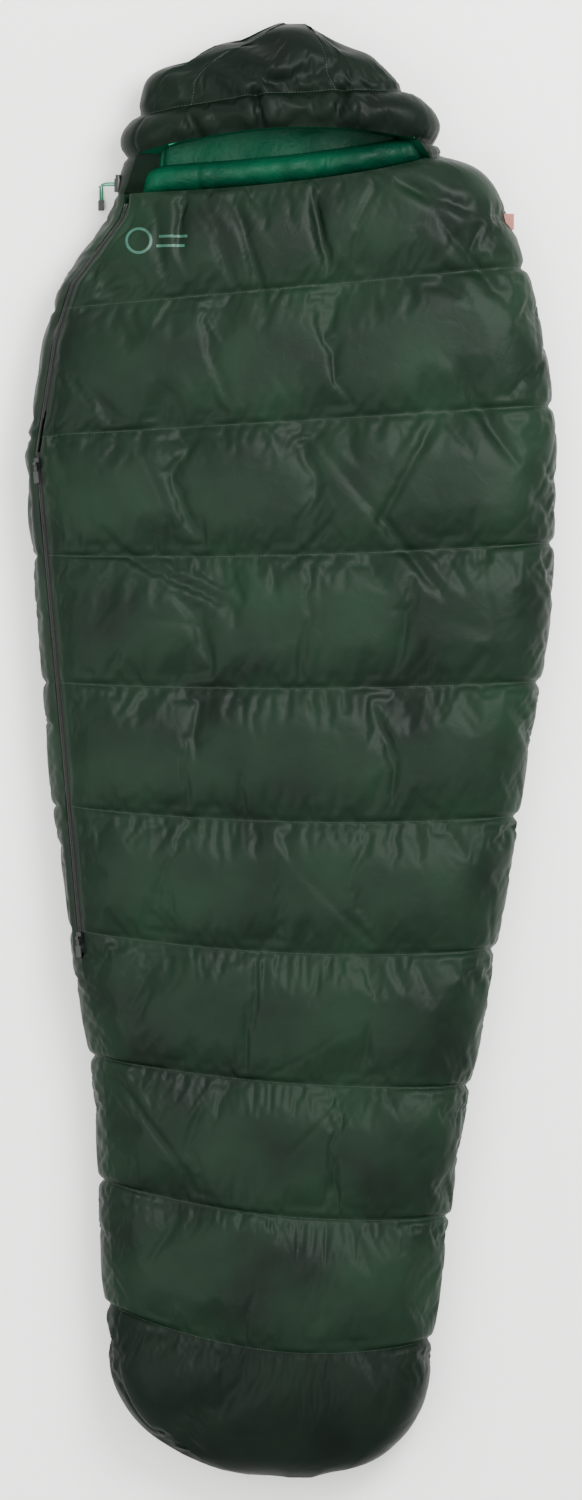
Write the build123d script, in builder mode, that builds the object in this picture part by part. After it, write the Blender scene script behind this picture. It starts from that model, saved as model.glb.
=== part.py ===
from build123d import *

import os
from math import cos, pi, radians, sin

# Mummy sleeping bag, lying on its back on a flat surface, empty and zipped up.
# +Y points to the hood, +X to the sleeper's left side, +Z up, and the bag lies on z = 0.
# Every length is in millimetres.

# ---- overall sizes of the filled bag ------------------------------------------------
LENGTH = 2142.0  # crown of the hood to the end of the foot
CHEST_WIDTH = 780.0  # the widest place, over the arms
SHOULDER_WIDTH = 688.0
NECK_WIDTH = 582.0
HOOD_WIDTH = 446.0
KNEE_WIDTH = 622.0  # where the zip ends
CALF_WIDTH = 552.0
FOOT_WIDTH = 492.0
SIDE_RADIUS = 60.0  # roundness of the long sides
DOME = 13.0  # how far the middle stands above the sides

# ---- the quilt, from outside to inside ----------------------------------------------
SHELL = 1.2
BATTING = 45.0
LINING = 1.2
SHELL_IN = SHELL
BATTING_IN = SHELL + BATTING
WALL = SHELL + BATTING + LINING
END_BATTING = 71.0  # the batting is gathered thicker at the foot and the crown

# ---- places along the bag, from its two ends ----------------------------------------
FOOT_Y = -LENGTH / 2
HEAD_Y = LENGTH / 2
FOOT_SEAM_Y = FOOT_Y + 200.0
ZIP_FOOT_Y = FOOT_Y + 771.0
CHEST_Y = HEAD_Y - 631.0
ZIP_TOP_Y = HEAD_Y - 262.0

# ---- zip ----------------------------------------------------------------------------
ZIP_ANGLE = 42.0  # how far round the side the zip lies, up from the middle of the height
ZIP_SLOT = 15.0  # between the edges of the two quilts
TAPE = 0.8
TAPE_WIDTH = 14.0
OUTSIDE = SIDE_RADIUS + 20.0  # past the zip, from the middle of the side's round
INSIDE = SIDE_RADIUS - 8.0
COIL = 2.4  # height of the coil on its tape
COIL_WIDTH = 2.2  # one row
COIL_GAP = 0.9  # from the middle of the zip to a row, where the slider's wedge runs
STOP_LENGTH = 6.0

SLIDER_LENGTH = 18.0
SLIDER_WIDTH = 11.0
SLIDER_PLATE = 1.2
SLIDER_FLANGE = 1.0
SLIDER_ROOM = 0.6  # between the slider and what runs through it
WEDGE_WIDTH = 0.9
WEDGE_LENGTH = 4.0
SLIDER_CORNER = 2.4
FLANGE_SETBACK = 5.0
TOP_SLIDER_Y = CHEST_Y - 16.0
FOOT_SLIDER_Y = ZIP_FOOT_Y + 22.0
PIN_RADIUS = 0.8
PIN_ROOM = 0.35
EYE_RADIUS = 2.2
LUG_WIDTH = 1.2
PULL_WIDTH = 7.0
PULL_NECK = 3.0
PULL_LENGTH = 27.0
PULL_THICKNESS = 1.4
GRIP_LENGTH = 17.0
GRIP_WIDTH = 9.4
GRIP_THICKNESS = 3.4
GRIP_OVERHANG = 1.6  # past the end of the pull
GRIP_EDGE = 1.2
PULL_SHOULDER = 1.6  # from the eye to the wide part

# ---- face opening and fold of the chest flap ----------------------------------------
NECK_LEFT = (-232.0, HEAD_Y - 249.0)
NECK_MIDDLE = (-20.0, HEAD_Y - 231.0)
NECK_RIGHT = (207.0, HEAD_Y - 185.0)
BRIM_MIDDLE = (30.0, HEAD_Y - 147.0)
BRIM_LEFT = (-205.0, HEAD_Y - 191.0)
HOOD_SLOPE = 0.077  # of the seam between hood and quilts, seen from above
NECK_SLIT = 14.0  # the way out of the zip's head
FACING = 4.0
BRIM_DEPTH = 52.0
BRIM_PROUD = 3.0
FOLD_GAP = 2.0
FOLD_NECK = (0.0, HEAD_Y - 225.0)
FLAP_ZIP_START = 45.0  # along the zip from the fold, kept free for the fold to turn
COLLAR_START = 7.0
COLLAR_DEPTH = 26.0
COLLAR_ROOM = 6.6  # above the bottom quilt
COLLAR_HEIGHT = 24.0
COLLAR_LOW = WALL + COLLAR_ROOM

# ---- draft tube behind the zip ------------------------------------------------------
TUBE_FACE = -2.4  # its upper face, from the middle of the slot
TUBE_INNER = SIDE_RADIUS - WALL + 3.4
TUBE_OUTER = SIDE_RADIUS - 16.0

# ---- drawcord and cord lock ---------------------------------------------------------
CORD = 2.6
CORD_ROOM = 0.6
CORD_HOLE = CORD + CORD_ROOM
STRAND_ROOM = 0.8
STRAND_SPACING = CORD + STRAND_ROOM
GROUND_ROOM = 0.3  # under the cord where it reaches the ground
LOCK_RADIUS = 6.0
LOCK_LENGTH = 20.0
LOCK_WALL = 1.4
LOCK_Y = HEAD_Y - 233.0
LOCK_Z = 72.0
PLUNGER_ROOM = 0.3
PLUNGER_REACH = 6.0
PLUNGER_TRAVEL = 3.6
SPRING_WIRE = 0.7
END_LENGTH = 15.0
END_WIDTH = 9.0
END_HEIGHT = 6.5

# ---- trim ---------------------------------------------------------------------------
LABEL_WIDTH = 24.0
LABEL_REACH = 14.0
LABEL_THICKNESS = 0.8
LABEL_Y = HEAD_Y - 286.0
PRINT_THICKNESS = 0.5
PRINT_CENTRE = (-202.0, HEAD_Y - 322.0)
PRINT_RADIUS = 20.0
PRINT_LINE = 4.0
MARK_RING = (-PRINT_RADIUS - 3.0, 4.0)  # from the middle of the print
MARK_BARS = ((PRINT_RADIUS + 8.0, 10.0), (PRINT_RADIUS + 4.0, -4.0))
MARK_BAR_LENGTH = 2.1 * PRINT_RADIUS
BEYOND = 300.0  # farther out than any piece, for cutting
FAR = BEYOND + 200.0
BESIDE = 90.0  # past the bag's side

# Each station: place along the bag, width, middle, radius of the sides, height.
STATIONS = [
    (FOOT_Y, FOOT_WIDTH - 306.0, 4.0, 26.0, 60.0),
    (FOOT_Y + 16.0, FOOT_WIDTH - 240.0, -8.0, 38.0, 84.0),
    (FOOT_Y + 44.0, FOOT_WIDTH - 158.0, -15.0, 50.0, 107.0),
    (FOOT_Y + END_BATTING, FOOT_WIDTH - 110.0, -19.0, 56.0, 120.0),
    (FOOT_Y + 134.0, FOOT_WIDTH - 44.0, -28.0, SIDE_RADIUS, 2 * SIDE_RADIUS + 8.0),
    (FOOT_Y + 250.0, FOOT_WIDTH, -29.0, SIDE_RADIUS, 2 * SIDE_RADIUS + 11.0),
    (FOOT_Y + 590.0, CALF_WIDTH, -13.0, SIDE_RADIUS, 2 * SIDE_RADIUS + DOME),
    (ZIP_FOOT_Y, KNEE_WIDTH, -13.0, SIDE_RADIUS, 2 * SIDE_RADIUS + DOME),
    (CHEST_Y, CHEST_WIDTH, 0.0, SIDE_RADIUS, 2 * SIDE_RADIUS + DOME),
    (HEAD_Y - 461.0, CHEST_WIDTH - 52.0, 1.0, SIDE_RADIUS, 2 * SIDE_RADIUS + DOME),
    (HEAD_Y - 381.0, SHOULDER_WIDTH, 6.0, SIDE_RADIUS, 2 * SIDE_RADIUS + DOME),
    (HEAD_Y - 285.0, NECK_WIDTH, 26.0, SIDE_RADIUS, 2 * SIDE_RADIUS + DOME),
    (HEAD_Y - 221.0, NECK_WIDTH - 62.0, 17.0, SIDE_RADIUS, 2 * SIDE_RADIUS + 10.0),
    (HEAD_Y - 178.0, HOOD_WIDTH, -15.0, SIDE_RADIUS, 2 * SIDE_RADIUS + 8.0),
    (HEAD_Y - 142.0, HOOD_WIDTH - 12.0, -10.0, SIDE_RADIUS, 2 * SIDE_RADIUS + 8.0),
    (HEAD_Y - 107.0, HOOD_WIDTH - 54.0, -18.0, 59.0, 126.0),
    (HEAD_Y - END_BATTING, HOOD_WIDTH - 114.0, -26.0, 56.0, 120.0),
    (HEAD_Y - 41.0, HOOD_WIDTH - 196.0, -12.0, 50.0, 108.0),
    (HEAD_Y - 17.0, HOOD_WIDTH - 304.0, 5.0, 38.0, 84.0),
    (HEAD_Y, HOOD_WIDTH - 366.0, 8.0, 26.0, 60.0),
]
THIGH_Y = HEAD_Y - 881.0
THIGH_RIGHT = CHEST_WIDTH / 2 - 13.0


def between(low, high, share):
    return low + (high - low) * share


def cross_section(y):
    """Left side, right side, side radius and height of the filled bag at y."""
    rows = [(at, mid - w / 2, mid + w / 2, r, h) for at, w, mid, r, h in STATIONS]
    for low, high in zip(rows, rows[1:]):
        if y <= high[0]:
            break
    share = (y - low[0]) / (high[0] - low[0])
    left, right, radius, height = [between(a, b, share) for a, b in zip(low[1:], high[1:])]
    if ZIP_FOOT_Y < y < CHEST_Y:
        # The zipped side is straight here, and the other one swells over the thigh.
        if y <= THIGH_Y:
            share = (y - ZIP_FOOT_Y) / (THIGH_Y - ZIP_FOOT_Y)
            right = between(low[2], THIGH_RIGHT, share)
        else:
            share = (y - THIGH_Y) / (CHEST_Y - THIGH_Y)
            right = between(THIGH_RIGHT, high[2], share)
    return left, right, radius, height


def stations_between(low, high):
    inside = [row[0] for row in STATIONS] + [THIGH_Y]
    return [low] + sorted(y for y in inside if low + 0.5 < y < high - 0.5) + [high]


def bag_form(inset, low, high):
    """The closed form of the bag from low to high along Y, drawn in by inset all round."""
    with BuildPart() as form:
        for y in stations_between(low, high):
            left, right, radius, height = cross_section(y)
            bottom = inset
            top = 2 * radius - inset
            with BuildSketch(Plane.XZ.offset(-y)):
                with BuildLine():
                    Line((left + radius, bottom), (right - radius, bottom))
                    ThreePointArc(
                        (right - radius, bottom), (right - inset, radius), (right - radius, top)
                    )
                    ThreePointArc(
                        (right - radius, top),
                        ((left + right) / 2, height - inset),
                        (left + radius, top),
                    )
                    ThreePointArc(
                        (left + radius, top), (left + inset, radius), (left + radius, bottom)
                    )
                make_face()
        loft(ruled=True)
    return form.part


def along_bag(corners, low, high):
    """A space whose corners, in each cross section, follow the bag."""
    with BuildPart() as space:
        for y in stations_between(low, high):
            with BuildSketch(Plane.XZ.offset(-y)):
                with BuildLine():
                    Polyline(*corners(y), close=True)
                make_face()
        loft(ruled=True)
    return space.part


def zip_point(y, out, up):
    """A point near the zip at y: out along its normal, and up its face."""
    left, right, radius, height = cross_section(y)
    a = radians(ZIP_ANGLE)
    return (left + radius - out * cos(a) + up * sin(a), radius + out * sin(a) + up * cos(a))


def zip_band(inner, outer, low_up, high_up, low, high):
    """A band along the zip, from inner to outer along its normal."""

    def corners(y):
        return [
            zip_point(y, inner, low_up),
            zip_point(y, outer, low_up),
            zip_point(y, outer, high_up),
            zip_point(y, inner, high_up),
        ]

    return along_bag(corners, low, high)


def upright(*lines_of):
    """An upright block over an outline in plan, drawn by the given line makers."""
    with BuildPart() as block:
        with BuildSketch():
            with BuildLine():
                for make in lines_of:
                    make()
            make_face()
        extrude(amount=BEYOND)
    return block.part


def over_polygon(*points):
    return upright(lambda: Polyline(*points, close=True))


def hood_seam_y(x):
    return NECK_RIGHT[1] + (x - NECK_RIGHT[0]) * HOOD_SLOPE


def neck_lines(rise):
    """The neck edge, moved by rise towards the crown."""
    Line((-FAR, NECK_LEFT[1] + rise), (NECK_LEFT[0], NECK_LEFT[1] + rise))
    ThreePointArc(
        (NECK_LEFT[0], NECK_LEFT[1] + rise),
        (NECK_MIDDLE[0], NECK_MIDDLE[1] + rise),
        (NECK_RIGHT[0], NECK_RIGHT[1] + rise),
    )


def neck_strip(start, end):
    """An upright block between two lines that run beside the neck edge."""

    def ends():
        Line((-FAR, NECK_LEFT[1] + start), (-FAR, NECK_LEFT[1] + end))
        Line((NECK_RIGHT[0], NECK_RIGHT[1] + start), (NECK_RIGHT[0], NECK_RIGHT[1] + end))

    return upright(lambda: neck_lines(start), lambda: neck_lines(end), ends)


# ---- the straight run of the zip ----------------------------------------------------
def zip_origin(y):
    x, z = zip_point(y, cross_section(y)[2], 0.0)
    return Vector(x, y, z)


ZIP_ALONG = (zip_origin(CHEST_Y) - zip_origin(ZIP_FOOT_Y)).normalized()
ZIP_OUT = Vector(sin(radians(ZIP_ANGLE)), 0, cos(radians(ZIP_ANGLE))).cross(ZIP_ALONG)
if ZIP_OUT.X > 0:
    ZIP_OUT = -ZIP_OUT


def zip_plane(y):
    """On the bag's side at the zip: local X along the zip, to the hood, and Z outwards."""
    return Plane(origin=zip_origin(y), x_dir=ZIP_ALONG, z_dir=ZIP_OUT)


# ---- spaces that cut the quilts apart -----------------------------------------------
def top_corners(y):
    left, right, radius, height = cross_section(y)
    over = zip_point(y, radius + BESIDE, 0.0)
    return [
        over,
        zip_point(y, 0.0, 0.0),
        (right + BESIDE, radius),
        (right + BESIDE, BEYOND),
        (over[0], BEYOND),
    ]


top_half = along_bag(top_corners, FOOT_Y, HEAD_Y)
zip_slot = zip_band(
    0.0, OUTSIDE, -ZIP_SLOT / 2, ZIP_SLOT / 2, ZIP_FOOT_Y, NECK_LEFT[1] + 2.0
)

hood_side = over_polygon(
    (-FAR, hood_seam_y(-FAR)), (FAR, hood_seam_y(FAR)), (FAR, 2 * LENGTH), (-FAR, 2 * LENGTH)
)
foot_side = over_polygon(
    (-FAR, -2 * LENGTH), (FAR, -2 * LENGTH), (FAR, FOOT_SEAM_Y), (-FAR, FOOT_SEAM_Y)
)


def below_neck_ends():
    Polyline(
        (NECK_RIGHT[0], NECK_RIGHT[1]),
        (FAR, hood_seam_y(FAR)),
        (FAR, -2 * LENGTH),
        (-FAR, -2 * LENGTH),
        (-FAR, NECK_LEFT[1]),
    )


below_neck = upright(lambda: neck_lines(0.0), below_neck_ends)


def brim_lines(rise):
    """The hood's edge over the face, moved by rise towards the crown."""
    ThreePointArc(
        (NECK_RIGHT[0] + rise, NECK_RIGHT[1] + 0.4 * rise),
        (BRIM_MIDDLE[0], BRIM_MIDDLE[1] + rise),
        (BRIM_LEFT[0] - 0.3 * rise, BRIM_LEFT[1] + rise),
    )


def face_ends():
    Polyline(
        (BRIM_LEFT[0], BRIM_LEFT[1]),
        (BRIM_LEFT[0], NECK_LEFT[1] + NECK_SLIT),
        (-FAR, NECK_LEFT[1] + NECK_SLIT),
        (-FAR, NECK_LEFT[1]),
    )


with BuildPart() as face_opening:
    add(upright(lambda: neck_lines(0.0), lambda: brim_lines(0.0), face_ends))
    add(top_half, mode=Mode.INTERSECT)


def brim_ends():
    right, left = NECK_RIGHT, BRIM_LEFT
    Line(right, (right[0] + BRIM_DEPTH, right[1] + 0.4 * BRIM_DEPTH))
    Line(left, (left[0] - 0.3 * BRIM_DEPTH, left[1] + BRIM_DEPTH))


with BuildPart() as brim_space:
    add(upright(lambda: brim_lines(0.0), lambda: brim_lines(BRIM_DEPTH), brim_ends))
    add(top_half, mode=Mode.INTERSECT)

# The fold of the chest flap runs from the zip, just above the top slider, to the neck.
FOLD_ZIP = (zip_origin(CHEST_Y).X, CHEST_Y + 4.0)
fold_run = Vector(FOLD_NECK[0] - FOLD_ZIP[0], FOLD_NECK[1] - FOLD_ZIP[1]).normalized()
fold_out = Vector(-fold_run.Y, fold_run.X)


def beyond_fold(gap):
    """An upright block over the chest flap's side of the fold."""
    start = Vector(*FOLD_ZIP) + fold_out * gap - fold_run * LENGTH / 2
    end = start + fold_run * LENGTH
    points = [start, end, end + fold_out * LENGTH, start + fold_out * LENGTH]
    return over_polygon(*[(p.X, p.Y) for p in points])


flap_side = beyond_fold(FOLD_GAP / 2)
flap_and_gap = beyond_fold(-FOLD_GAP / 2)
flap_zip_side = beyond_fold(FLAP_ZIP_START * fold_out.Y)

# ---- quilts: three layers, each cut into the same panels ------------------------------
outer_form = bag_form(0.0, FOOT_Y, HEAD_Y)
shell_inner = bag_form(SHELL_IN, FOOT_Y + SHELL, HEAD_Y - SHELL)
batting_inner = bag_form(BATTING_IN, FOOT_Y + END_BATTING, HEAD_Y - END_BATTING)
cavity_form = bag_form(WALL, FOOT_Y + END_BATTING + LINING, HEAD_Y - END_BATTING - LINING)


def layer(outside, inside):
    with BuildPart() as skin:
        add(outside)
        add(inside, mode=Mode.SUBTRACT)
        add(face_opening.part, mode=Mode.SUBTRACT)
        add(brim_space.part, mode=Mode.SUBTRACT)
        add(zip_slot, mode=Mode.SUBTRACT)
    return skin.part


LAYERS = {
    "shell": layer(outer_form, shell_inner),
    "batting": layer(shell_inner, batting_inner),
    "lining": layer(batting_inner, cavity_form),
}

os.makedirs("parts", exist_ok=True)


def finish(name, part):
    part.label = name
    export_step(part, f"parts/{name}.step")


for kind, skin in LAYERS.items():
    with BuildPart() as foot_quilt:
        add(skin)
        add(foot_side, mode=Mode.INTERSECT)
    finish(f"foot_{kind}", foot_quilt.part)

    with BuildPart() as top_quilt:
        add(skin)
        add(top_half, mode=Mode.INTERSECT)
        add(below_neck, mode=Mode.INTERSECT)
        add(foot_side, mode=Mode.SUBTRACT)
        add(flap_and_gap, mode=Mode.SUBTRACT)
    finish(f"top_{kind}", top_quilt.part)

    with BuildPart() as flap_quilt:
        add(skin)
        add(top_half, mode=Mode.INTERSECT)
        add(below_neck, mode=Mode.INTERSECT)
        add(flap_side, mode=Mode.INTERSECT)
    finish(f"flap_{kind}", flap_quilt.part)

    with BuildPart() as top_zone:
        add(top_half)
        add(below_neck, mode=Mode.INTERSECT)
    with BuildPart() as bottom_quilt:
        add(skin)
        add(top_zone.part, mode=Mode.SUBTRACT)
        add(foot_side, mode=Mode.SUBTRACT)
        add(hood_side, mode=Mode.SUBTRACT)
    finish(f"bottom_{kind}", bottom_quilt.part)

# ---- hood: three gores of shell over one batting and one lining ------------------------
LEFT_GORE_X = (-147.0, -178.0)  # at the brim and at the crown
RIGHT_GORE_X = (62.0, 92.0)
left_gore_side = over_polygon(
    (LEFT_GORE_X[0], HEAD_Y - 300), (LEFT_GORE_X[0], HEAD_Y - 110), (LEFT_GORE_X[1], HEAD_Y + 50),
    (-FAR, HEAD_Y + 50), (-FAR, HEAD_Y - 300),
)
right_gore_side = over_polygon(
    (RIGHT_GORE_X[0], HEAD_Y - 300), (RIGHT_GORE_X[0], HEAD_Y - 100), (RIGHT_GORE_X[1], HEAD_Y + 50),
    (FAR, HEAD_Y + 50), (FAR, HEAD_Y - 300),
)

for kind, skin in LAYERS.items():
    if kind == "shell":
        continue
    with BuildPart() as hood_quilt:
        add(skin)
        add(hood_side, mode=Mode.INTERSECT)
    finish(f"hood_{kind}", hood_quilt.part)

with BuildPart() as hood_left_gore:
    add(LAYERS["shell"])
    add(hood_side, mode=Mode.INTERSECT)
    add(left_gore_side, mode=Mode.INTERSECT)
finish("hood_left_gore", hood_left_gore.part)

with BuildPart() as hood_right_gore:
    add(LAYERS["shell"])
    add(hood_side, mode=Mode.INTERSECT)
    add(right_gore_side, mode=Mode.INTERSECT)
finish("hood_right_gore", hood_right_gore.part)

with BuildPart() as hood_centre_gore:
    add(LAYERS["shell"])
    add(hood_side, mode=Mode.INTERSECT)
    add(left_gore_side, mode=Mode.SUBTRACT)
    add(right_gore_side, mode=Mode.SUBTRACT)
finish("hood_centre_gore", hood_centre_gore.part)

# The padded roll along the hood's edge, with the drawcord in a channel along it.
CHANNEL_RADIUS = CORD / 2 + 0.3
CHANNEL_Z = 2 * SIDE_RADIUS - 14.0
CHANNEL_IN = 9.0
CHANNEL_END = 24.0


def channel_path():
    ThreePointArc(
        (NECK_RIGHT[0] - CHANNEL_END, NECK_RIGHT[1] + CHANNEL_IN + 12.0),
        (BRIM_MIDDLE[0], BRIM_MIDDLE[1] + CHANNEL_IN),
        (BRIM_LEFT[0] + CHANNEL_END, BRIM_LEFT[1] + CHANNEL_IN + 7.0),
    )


def along_channel(radius):
    with BuildPart() as cord_run:
        with BuildLine(Plane.XY.offset(CHANNEL_Z)) as path:
            channel_path()
        with BuildSketch(Plane(origin=path.line @ 0, z_dir=path.line % 0)):
            Circle(radius)
        sweep()
    return cord_run.part


with BuildPart() as hood_brim:
    add(bag_form(-BRIM_PROUD, FOOT_SEAM_Y, HEAD_Y - BRIM_PROUD))
    add(cavity_form, mode=Mode.SUBTRACT)
    add(brim_space.part, mode=Mode.INTERSECT)
    add(along_channel(CHANNEL_RADIUS), mode=Mode.SUBTRACT)
finish("hood_brim", hood_brim.part)
finish("hood_drawcord", along_channel(CORD / 2))

# ---- neck: facings of the quilt's edge and the draft collar ----------------------------
facing_end = NECK_RIGHT[0] - 16.0
beside_zip = zip_band(
    0.0, SIDE_RADIUS + 40, -ZIP_SLOT, ZIP_SLOT / 2, NECK_LEFT[1] - 50, NECK_LEFT[1] + 50
)
left_of_facing_end = over_polygon((-FAR, 0), (facing_end, 0), (facing_end, LENGTH), (-FAR, LENGTH))
with BuildPart() as facing:
    add(outer_form)
    add(cavity_form, mode=Mode.SUBTRACT)
    add(top_half, mode=Mode.INTERSECT)
    add(neck_strip(0.0, FACING), mode=Mode.INTERSECT)
    add(left_of_facing_end, mode=Mode.INTERSECT)
    add(zip_slot, mode=Mode.SUBTRACT)
    add(beside_zip, mode=Mode.SUBTRACT)

with BuildPart() as neck_facing:
    add(facing.part)
    add(flap_and_gap, mode=Mode.SUBTRACT)
finish("neck_facing", neck_facing.part)

with BuildPart() as flap_neck_facing:
    add(facing.part)
    add(flap_side, mode=Mode.INTERSECT)
finish("flap_neck_facing", flap_neck_facing.part)

with BuildPart() as draft_collar:
    add(cavity_form)
    add(neck_strip(COLLAR_START, COLLAR_START + COLLAR_DEPTH), mode=Mode.INTERSECT)
    with BuildSketch(Plane.XY.offset(COLLAR_LOW)):
        Rectangle(4 * BEYOND, 4 * LENGTH)
    extrude(amount=COLLAR_HEIGHT, mode=Mode.INTERSECT)
finish("draft_collar", draft_collar.part)

# ---- zip -----------------------------------------------------------------------------
COIL_FOOT_Y = ZIP_FOOT_Y + STOP_LENGTH
COIL_TOP_Y = ZIP_TOP_Y - STOP_LENGTH
FOLD_ZIP_END_Y = FOLD_ZIP[1] - 3.0  # short of the fold
tape_form = bag_form(-TAPE, FOOT_SEAM_Y, HEAD_Y - 100)
coil_form = bag_form(-TAPE - COIL, FOOT_SEAM_Y, HEAD_Y - 100)


def zip_piece(name, outside, inside, low_up, high_up, low, high, flap=False):
    with BuildPart() as piece:
        add(outside)
        add(inside, mode=Mode.SUBTRACT)
        add(zip_band(INSIDE, OUTSIDE, low_up, high_up, low, high), mode=Mode.INTERSECT)
        if flap:
            add(flap_zip_side, mode=Mode.INTERSECT)
    finish(name, piece.part)


TAPE_EDGE = COIL_GAP + TAPE_WIDTH
COIL_EDGE = COIL_GAP + COIL_WIDTH
zip_piece("zip_tape_upper", tape_form, outer_form, COIL_GAP, TAPE_EDGE, ZIP_FOOT_Y, FOLD_ZIP_END_Y)
zip_piece("zip_tape_lower", tape_form, outer_form, -TAPE_EDGE, -COIL_GAP, ZIP_FOOT_Y, ZIP_TOP_Y)
zip_piece("flap_zip_tape", tape_form, outer_form, COIL_GAP, TAPE_EDGE, CHEST_Y, ZIP_TOP_Y, True)
zip_piece("zip_coil_upper", coil_form, tape_form, COIL_GAP, COIL_EDGE, COIL_FOOT_Y, FOLD_ZIP_END_Y)
zip_piece("zip_coil_lower", coil_form, tape_form, -COIL_EDGE, -COIL_GAP, COIL_FOOT_Y, COIL_TOP_Y)
zip_piece("flap_zip_coil", coil_form, tape_form, COIL_GAP, COIL_EDGE, CHEST_Y, COIL_TOP_Y, True)
zip_piece("zip_stop_lower", coil_form, tape_form, -COIL_EDGE - 0.8, -COIL_GAP, COIL_TOP_Y, ZIP_TOP_Y)
zip_piece("flap_zip_stop", coil_form, tape_form, COIL_GAP, COIL_EDGE + 0.8, COIL_TOP_Y, ZIP_TOP_Y)
zip_piece("zip_end_box", coil_form, tape_form, -COIL_EDGE, COIL_EDGE, ZIP_FOOT_Y, COIL_FOOT_Y)

with BuildPart() as draft_tube:
    add(zip_band(TUBE_INNER, TUBE_OUTER, -ZIP_SLOT / 2, TUBE_FACE, ZIP_FOOT_Y + 6, NECK_LEFT[1] - 6))
finish("draft_tube", draft_tube.part)

UNDER = -SLIDER_ROOM  # the top of the slider's lower plate
OVER = TAPE + COIL + SLIDER_ROOM  # the underside of its upper plate
PIN_Z = OVER + SLIDER_PLATE + EYE_RADIUS + 0.4
LUG_INNER = PULL_NECK / 2 + 0.35


def make_slider(name, y, wedge_at):
    """Two plates held by a wedge that runs between the rows, with lugs for the pull."""
    place = zip_plane(y)
    with BuildPart(place) as slider:
        with Locations((0, 0, (UNDER - SLIDER_PLATE / 2))):
            Box(SLIDER_LENGTH, SLIDER_WIDTH, SLIDER_PLATE)
        with Locations((0, 0, OVER + SLIDER_PLATE / 2)):
            Box(SLIDER_LENGTH, SLIDER_WIDTH, SLIDER_PLATE)
        fillet(slider.edges().filter_by(Axis(place.origin, place.z_dir)), SLIDER_CORNER)
        flange_low = TAPE + SLIDER_ROOM
        for side in (-1, 1):
            with Locations((0, side * (SLIDER_WIDTH - SLIDER_FLANGE) / 2, (flange_low + OVER) / 2)):
                Box(SLIDER_LENGTH - FLANGE_SETBACK, SLIDER_FLANGE, OVER - flange_low)
            with Locations((0, side * (LUG_INNER + LUG_WIDTH / 2), OVER + SLIDER_PLATE)):
                Box(2 * EYE_RADIUS, LUG_WIDTH, PIN_Z - OVER - SLIDER_PLATE,
                    align=(Align.CENTER, Align.CENTER, Align.MIN))
            with Locations(Location((0, side * (LUG_INNER + LUG_WIDTH / 2), PIN_Z), (90, 0, 0))):
                Cylinder(EYE_RADIUS, LUG_WIDTH)
        with Locations(Location((0, 0, PIN_Z), (90, 0, 0))):
            Cylinder(PIN_RADIUS, 2 * (LUG_INNER + LUG_WIDTH))
        with Locations((wedge_at, 0, (UNDER + OVER) / 2)):
            Box(WEDGE_LENGTH, WEDGE_WIDTH, OVER - UNDER)
    finish(name, slider.part)


def make_pull(name, grip_name, y):
    """The pull lies along the zip towards the foot, its eye round the slider's pin."""
    place = zip_plane(y)
    neck_end = EYE_RADIUS + PULL_SHOULDER
    with BuildPart(place) as pull:
        with Locations(Location((0, 0, PIN_Z), (90, 0, 0))):
            Cylinder(EYE_RADIUS, PULL_NECK)
        with Locations((-neck_end / 2 - 0.5, 0, PIN_Z)):
            Box(neck_end + 1.0, PULL_NECK, PULL_THICKNESS)
        with Locations((-neck_end - (PULL_LENGTH - neck_end) / 2, 0, PIN_Z)):
            Box(PULL_LENGTH - neck_end, PULL_WIDTH, PULL_THICKNESS)
        with Locations(Location((0, 0, PIN_Z), (90, 0, 0))):
            Cylinder(PIN_RADIUS + PIN_ROOM, PULL_NECK, mode=Mode.SUBTRACT)
    finish(name, pull.part)

    with BuildPart(place) as grip:
        with Locations((-PULL_LENGTH + GRIP_LENGTH / 2 - GRIP_OVERHANG, 0, PIN_Z)):
            Box(GRIP_LENGTH, GRIP_WIDTH, GRIP_THICKNESS)
        fillet(grip.edges(), GRIP_EDGE)
        with Locations((-neck_end - (PULL_LENGTH - neck_end) / 2, 0, PIN_Z)):
            Box(PULL_LENGTH - neck_end, PULL_WIDTH, PULL_THICKNESS, mode=Mode.SUBTRACT)
    finish(grip_name, grip.part)


make_slider("top_slider", TOP_SLIDER_Y, WEDGE_LENGTH)
make_pull("top_pull", "top_pull_grip", TOP_SLIDER_Y)
make_slider("foot_slider", FOOT_SLIDER_Y, -WEDGE_LENGTH)
make_pull("foot_pull", "foot_pull_grip", FOOT_SLIDER_Y)

# ---- cord lock, hanging beside the neck, with its axis along the bag -------------------
LOCK_X = cross_section(LOCK_Y - LOCK_LENGTH / 2)[0] - LOCK_RADIUS - 0.1
HOLE_Y = LOCK_Y + 2.0
BORE = LOCK_RADIUS - LOCK_WALL
PLUNGER_RADIUS = BORE - PLUNGER_ROOM
FLOOR_Y = LOCK_Y - LOCK_LENGTH / 2 + LOCK_WALL
HOLE_WIDTH = CORD_HOLE + STRAND_SPACING
PLUNGER_HOLE = HOLE_WIDTH + PLUNGER_TRAVEL + 0.4
PLUNGER_FOOT_Y = HOLE_Y - HOLE_WIDTH / 2 - 1.2


def facing_head(y):
    """An upright plane across the bag at y, for round pieces that run along it."""
    return Plane(origin=(LOCK_X, y, LOCK_Z), x_dir=(1, 0, 0), z_dir=(0, 1, 0))


def cord_way(centre_y, width):
    with BuildPart() as way:
        with BuildSketch(Plane.YZ.offset(LOCK_X - 2 * LOCK_RADIUS)):
            with Locations((centre_y, LOCK_Z)):
                SlotOverall(width, CORD_HOLE)
        extrude(amount=4 * LOCK_RADIUS)
    return way.part


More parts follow.
